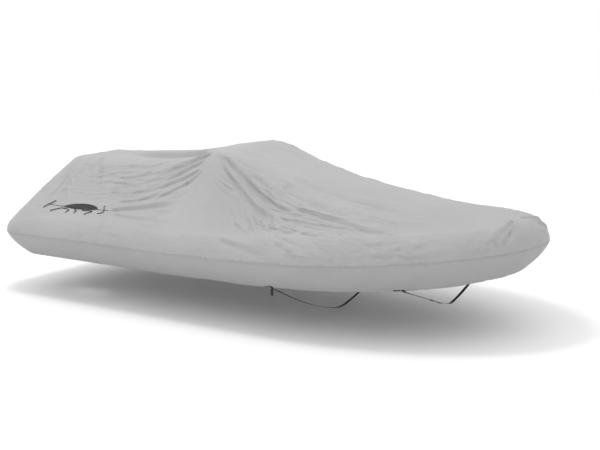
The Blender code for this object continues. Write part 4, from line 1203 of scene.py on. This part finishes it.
def roundLip(x, lip):  # up from under the cloth, over the slit's lip and down on to the cloth
    over, under = lacing["over"], lacing["under"]
    return (
        (x + 0.035, lip - 0.014, under), (x + 0.045, lip + 0.008, under),
        (x + 0.050, lip + 0.016, lacing["onLip"]),
        (x + 0.057, lip + 0.008, over + 0.001), (x + 0.066, lip - 0.014, over),
    )


def laceKnots(side):  # x, distance up from the slit and height over the cloth
    over, under = lacing["over"], lacing["under"]
    lip = -slit["footBelow"] - slit["halfGap"]
    x1, x2, x3, x4, x5 = (hole[0] for hole in holes["lower"])
    x6, x7 = (hole[0] for hole in holes["upper"])
    hole1, hole2, hole3, hole4, hole5 = holes["lower"]
    hole6, hole7 = holes["upper"]
    stops = (
        ((x1 - 0.060, -0.055, under), (x1 - 0.035, -0.062, under)), (hole1, True),
        ((x1 + 0.035, 0.0, over + 0.003),), (hole6, False),
        ((x6 + 0.045, -0.020, under),), (hole2, True),
        ((x2 + 0.040, -0.070, over), (x2 + 0.100, lip - 0.014, over), (x3 - 0.060, lip - 0.014, over),
         (x3 - 0.005, lip - 0.034, over)), (hole3, False),
        (*roundLip(x3, lip), (x4 - 0.010, lip - 0.030, over)), (hole4, False),
        (*roundLip(x4, lip), (x5 - 0.040, lip - 0.014, over), (x5 + 0.040, lip - 0.018, over),
         (x5 + 0.045, -0.060, over + 0.001)), (hole5, False),
        ((x5 + 0.060, -0.040, under), (x5 + 0.105, 0.020, under)), (hole7, True),
        ((x7 + 0.045, 0.010, over + 0.002), (x7 + 0.075, -0.024, over), (x7 + 0.085, -0.046, over + 0.003),
         (x7 + 0.066, -0.062, over), (x7 + 0.030, -0.074, over)),
    )
    knots = list(stops[0])
    for (hole, upwards), after in zip(stops[1::2], stops[2::2]):
        knots += throughHole(knots[-1], hole, after[0], upwards)
        knots += after
    return [finders[side](*knot) for knot in knots]


def smoothCurve(knots, spacing):
    knots = np.array(knots, float)
    ends = np.vstack([2 * knots[0] - knots[1], knots, 2 * knots[-1] - knots[-2]])
    points = []
    for before, start, end, after in zip(ends, ends[1:], ends[2:], ends[3:]):
        count = max(2, int(math.ceil(np.linalg.norm(end - start) / spacing)))
        for t in np.arange(count) / count:
            points.append(0.5 * (
                2 * start + (end - before) * t + (2 * before - 5 * start + 4 * end - after) * t**2
                + (3 * start - before - 3 * end + after) * t**3
            ))
    points.append(knots[-1])
    return np.array(points)


def tubeMesh(path, radius, sides, ends):  # a closed tube with round ends and a map of (turn, metres)
    way = unit(np.gradient(path, axis=0))
    stations = [(path[0] + back * radius * way[0], 0, width) for back, width in ends]
    stations += [(point, k, 1.0) for k, point in enumerate(path)]
    stations += [(path[-1] - back * radius * way[-1], len(path) - 1, width) for back, width in reversed(ends)]
    length = lengthAlong(np.array([point for point, _, _ in stations]))
    across = np.cross(way[0], (0.3, 0.5, 0.8))  # any way that isn't the cord's own
    points, maps = [], []
    for number, (point, k, width) in enumerate(stations):
        across = unit(across - (across @ way[k]) * way[k])
        other = np.cross(way[k], across)
        for side in range(sides):
            turn = 2 * math.pi * side / sides
            points.append(point + width * radius * (math.cos(turn) * across + math.sin(turn) * other))
            maps.append((side / sides, length[number]))
    return points, ringFaces(len(stations), sides), maps


for side in bothSides:
    path = smoothCurve(laceKnots(side), lacing["step"])
    points, faces, maps = tubeMesh(path, lacing["radius"], lacing["sides"], lacing["ends"])
    lace = newPiece(f"lace{side.capitalize()}", points, faces, cordFinish, {"cord": maps})
    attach(lace, "root")
    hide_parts(f"lace_{side}")
print("laces made")


# Webbing

# Polypropylene webbing: a flat close weave with fine ribs across it and a firm woven edge.
webbing = {
    "width": 0.030,
    "thickness": 0.002,
    "edge": 0.03,  # how much of the width each softened edge takes
    "gap": 0.0003,
    "rib": 0.0030,  # real ribs are 1.5 mm apart
    "warp": 0.004,
    "ribHeight": 0.0004,
    "colour": "#161617",
    "tabLength": 0.095,
    "tabHeight": 0.028,
    "tabSteps": 9,
    "turnOver": 9,  # steps in a tail's turn
    "wrapSteps": 15,
    "tabShare": 0.4,  # of the tab's height, where a strap starts to lie straight
    "aboveHem": 0.002,
    "hang": 0.012,
    "tail": 0.070,
    "tailAside": 0.004,
    "tailPlaces": (1, 0.82, 0.65, 0.47, 0.3),  # shares of the tail, from its end up
    "step": 0.004,
    "turnSteps": 26,  # in which a strap turns from the hem's direction to square across the hull
}

straps = {
    "foreX": 4.97,
    "foreRoute": ((0.00, -0.442), (0.10, -0.420), (0.20, -0.385), (0.40, -0.302)),  # from the middle, z
    "midX": 3.74,
    "midRoute": ((0.00, -0.628), (0.16, -0.600), (0.40, -0.520), (0.66, -0.402)),
    "steps": 60,  # from the hem to the keel
}

hemSearch = {"stations": 400, "upper": 0.6667, "passes": 12, "step": 0.02}

link = {
    "y": -0.215,
    "length": 0.110,
    "width": 0.052,
    "wire": 0.0025,
    "sides": 12,
    "corner": 0.008,
    "cornerSteps": 9,
    "fold": 0.035,
    "strapEnds": 0.06,  # how far short of it the strap's route stops
    "colour": "#a9abae",
    "roughness": (0.2, 0.4),
    "marks": 160.0,
}


def webbingMaterial():
    material, tree, shader = newMaterial("polypropylene webbing", webbing["colour"], 0.6, Sheen_Weight=0.1)
    ribs, warp = ripples(tree, "strap", ((0, 1 / webbing["rib"]), (1 / webbing["warp"], 0)))
    height = addNode(tree, "ShaderNodeMath", {"operation": "MULTIPLY_ADD"}, {0: warp, 1: 0.4, 2: ribs})
    bump = addNode(tree, "ShaderNodeBump", {}, {
        "Height": height.outputs[0], "Distance": webbing["ribHeight"], "Strength": 0.8})
    tree.links.new(bump.outputs["Normal"], shader.inputs["Normal"])
    return material


webbingFinish = webbingMaterial()


def outwards(piece):
    changeMesh(piece, lambda shape: bmesh.ops.recalc_face_normals(shape, faces=shape.faces))


def makeStrip(name, node, places, widths, width=webbing["width"]):  # flat, with softened edges
    widths = unit(widths)
    normal = unit(np.cross(np.gradient(places, axis=0), widths))
    length = lengthAlong(places)
    ring = [(-0.5, 0.0), (webbing["edge"] - 0.5, 0.5), (0.0, 0.5), (0.5 - webbing["edge"], 0.5)]
    ring += [(-across, -lift) for across, lift in ring]
    points, maps = [], []
    for k, place in enumerate(places):
        for across, lift in ring:
            points.append(place + across * width * widths[k] + lift * webbing["thickness"] * normal[k])
            maps.append((across * width, length[k]))
    piece = newPiece(name, points, ringFaces(len(places), len(ring)), webbingFinish, {"strap": maps})
    outwards(piece)
    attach(piece, "root")
    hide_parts(node)


def hemAt(x, side):  # the hem's point at x, the way up the cloth there and the way out from it
    along = np.linspace(slit["start"], plan["endAlong"], hemSearch["stations"])
    at = np.interp(x, seamPlan(along)[:, 0], along)
    down = np.array([[hemSearch["upper"], 1.0]])
    for _ in range(hemSearch["passes"]):
        at += x - skirtGrid(np.array([at]), down)[0, -1][0]
    step = hemSearch["step"]
    grid = skirtGrid(np.array([at - step, at, at + step]), np.repeat(down, 3, 0))
    upper, hem = grid[1]
    outward = unit(np.cross(hem - upper, grid[2, -1] - grid[0, -1]))
    return [onSide(value, side) for value in (hem, unit(upper - hem), outward)]


def makeTab(where, x, side):
    places, climbs = [], []
    fore = x + webbing["width"] / 2
    for station in np.linspace(fore - webbing["tabLength"], fore + webbing["aboveHem"], webbing["tabSteps"]):
        hem, climb, outward = hemAt(station, side)
        up = webbing["aboveHem"] + webbing["tabHeight"] / 2
        places.append(hem + up * climb + (webbing["gap"] + webbing["thickness"] / 2) * outward)
        climbs.append(climb)
    name = f"tab{where.capitalize()}{side.capitalize()}"
    makeStrip(name, f"tab_{where}_{side}", np.array(places), np.array(climbs), webbing["tabHeight"])


def strapEnd(x, side, tail=False):  # from its top, over the tab, down to where it leaves the hem
    hem, climb, outward = hemAt(x, side)
    layer = webbing["thickness"] + webbing["gap"]
    inner = layer + webbing["gap"] + webbing["thickness"] / 2
    height = webbing["tabHeight"]
    ups = (webbing["aboveHem"] + height, webbing["tabShare"] * height, 0, -webbing["hang"])
    points = [hem + up * climb + inner * outward for up in ups]
    if tail:  # it turns over at the top and hangs down in front
        top = points[0] + layer / 2 * outward
        turn = [top + layer / 2 * (math.cos(angle) * outward + math.sin(angle) * climb)
                for angle in np.linspace(0, math.pi, webbing["turnOver"])]
        hang = hem + (inner + layer) * outward
        aside = onSide(np.array([0, -webbing["tailAside"], 0]), side)
        drop = [hang + aside - np.array([0, 0, share * webbing["tail"]]) for share in webbing["tailPlaces"]]
        points = drop + [hang - webbing["hang"] / 2 * climb] + turn + points[1:]
    width = np.cross(outward, climb)
    return np.array(points), width * math.copysign(1, width[0])


def underHull(x, route, side):
    return [onSide(np.array([x, -away, z]), side) for away, z in route[1:]]


def evenly(knots, count):
    fine = smoothCurve(knots, webbing["step"])
    length = lengthAlong(fine)
    return placesAt(fine, length, np.linspace(0, length[-1], count))


def turnedWidths(end, middle, width):
    share = np.clip(np.arange(1, middle + 1) / webbing["turnSteps"], 0, 1)[:, None]
    return np.concatenate([np.tile(width, (end, 1)), width + share * (np.array([1.0, 0, 0]) - width)])


def makeMidStrap():
    x, route, steps = straps["midX"], straps["midRoute"], straps["steps"]
    starboard, starboardWidth = strapEnd(x, "starboard", tail=True)
    port, portWidth = strapEnd(x, "port")
    knots = [starboard[-1], *underHull(x, route, "starboard")[::-1], np.array([x, 0, route[0][1]])]
    knots += [*underHull(x, route, "port"), port[-1]]
    places = np.concatenate([starboard[:-1], evenly(knots, 2 * steps + 1), port[-2::-1]])
    widths = np.concatenate([
        turnedWidths(len(starboard), steps, starboardWidth),
        turnedWidths(len(port), steps - 1, portWidth)[::-1],
    ])
    makeStrip("strapMid", "strap_mid", places, widths)


def linkFrame():  # the link's middle and the way it lies across the hull
    route = np.array([(-away, z) for away, z in straps["foreRoute"][::-1]])
    ends = link["y"] + np.array([-0.5, 0.5]) * link["length"]
    z = np.interp(ends, route[:, 0], route[:, 1])
    way = unit(np.array([0, ends[1] - ends[0], z[1] - z[0]]))
    return np.array([straps["foreX"], link["y"], z.mean()]), way


def roundBar(bar, way):  # the strap's turn round the link's bar, to its sewn end
    up = np.array([0, -way[2], way[1]])
    up *= math.copysign(1, up[2])
    reach = link["wire"] + webbing["gap"] + webbing["thickness"] / 2
    wrap = [bar + reach * (math.cos(angle) * up + math.sin(angle) * way)
            for angle in np.linspace(0, math.pi, webbing["wrapSteps"])]
    lead = bar - 0.5 * link["fold"] * way + reach * up
    tail = [bar - share * link["fold"] * way - reach * up for share in (0.5, 0.75, 1)]
    return np.array([lead] + wrap + tail)


def makeForeStraps():
    middle, way = linkFrame()
    x, route, steps = straps["foreX"], straps["foreRoute"], straps["steps"]
    for side, towards in (("starboard", way), ("port", -way)):
        bar = middle - link["length"] / 2 * towards
        end, width = strapEnd(x, side)
        wrap = roundBar(bar, towards)
        places = underHull(x, route, side)[::-1]
        if side == "port":
            places.append(np.array([x, 0, route[0][1]]))
        else:
            places = [place for place in places if place[1] < bar[1] - link["strapEnds"]]
        run = evenly([end[-1], *places, wrap[0]], steps)
        widths = np.concatenate([
            turnedWidths(len(end) - 1, steps, width), np.tile([1.0, 0, 0], (len(wrap) - 1, 1))])
        name = f"strapFore{side.capitalize()}"
        makeStrip(name, f"strap_fore_{side}", np.concatenate([end[:-1], run, wrap[1:]]), widths)


def wireMaterial():  # drawn stainless wire, bent to a ring and welded: smooth and bright, with faint marks
    material, tree, shader = newMaterial("drawn stainless wire", link["colour"], 0.28, Metallic=1.0)
    place = addNode(tree, "ShaderNodeTexCoord")
    marks = addNode(tree, "ShaderNodeTexNoise", {}, {
        "Vector": place.outputs["Object"], "Scale": link["marks"], "Detail": 3.0})
    smooth, rough = link["roughness"]
    roughness = addNode(tree, "ShaderNodeMapRange", {}, {
        "Value": marks.outputs["Fac"], "To Min": smooth, "To Max": rough})
    tree.links.new(roughness.outputs["Result"], shader.inputs["Roughness"])
    return material


def makeLink():
    middle, way = linkFrame()
    across = link["width"] / 2 - link["corner"]
    along = link["length"] / 2 - link["corner"]
    path = []
    for quarter, (signAcross, signAlong) in enumerate(((1, 1), (-1, 1), (-1, -1), (1, -1))):
        for turn in np.linspace(0, math.pi / 2, link["cornerSteps"]):
            angle = quarter * math.pi / 2 + turn
            sideways = signAcross * across + link["corner"] * math.cos(angle)
            lengthways = signAlong * along + link["corner"] * math.sin(angle)
            path.append(middle + lengthways * way + np.array([sideways, 0, 0]))
    flat = np.cross((1, 0, 0), way)
    points = []
    for k, point in enumerate(path):
        out = unit(np.cross(path[(k + 1) % len(path)] - path[k - 1], flat))
        for turn in np.arange(link["sides"]) * 2 * math.pi / link["sides"]:
            points.append(point + link["wire"] * (math.cos(turn) * out + math.sin(turn) * flat))
    faces = ringFaces(len(path), link["sides"], joined=True)
    piece = newPiece("strapLink", points, faces, wireMaterial())
    outwards(piece)
    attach(piece, "root")
    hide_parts("strap_link")


for where, x in (("fore", straps["foreX"]), ("mid", straps["midX"])):
    for side in bothSides:
        makeTab(where, x, side)
makeMidStrap()
makeForeStraps()
makeLink()
print("straps made")


# Floor

floor = {"colour": "#fafafa", "reach": 60, "below": 0.012}  # under the lowest strap


def addFloor():
    low, reach = cadBox[0][2] - floor["below"], floor["reach"]
    mesh = bpy.data.meshes.new("floor")
    corners = ((-reach, -reach, low), (reach, -reach, low), (reach, reach, low), (-reach, reach, low))
    mesh.from_pydata(corners, [], [(0, 1, 2, 3)])
    mesh.materials.append(newMaterial("floor", floor["colour"], 0.9)[0])
    thing = bpy.data.objects.new("floor", mesh)
    bpy.context.scene.collection.objects.link(thing)


addFloor()
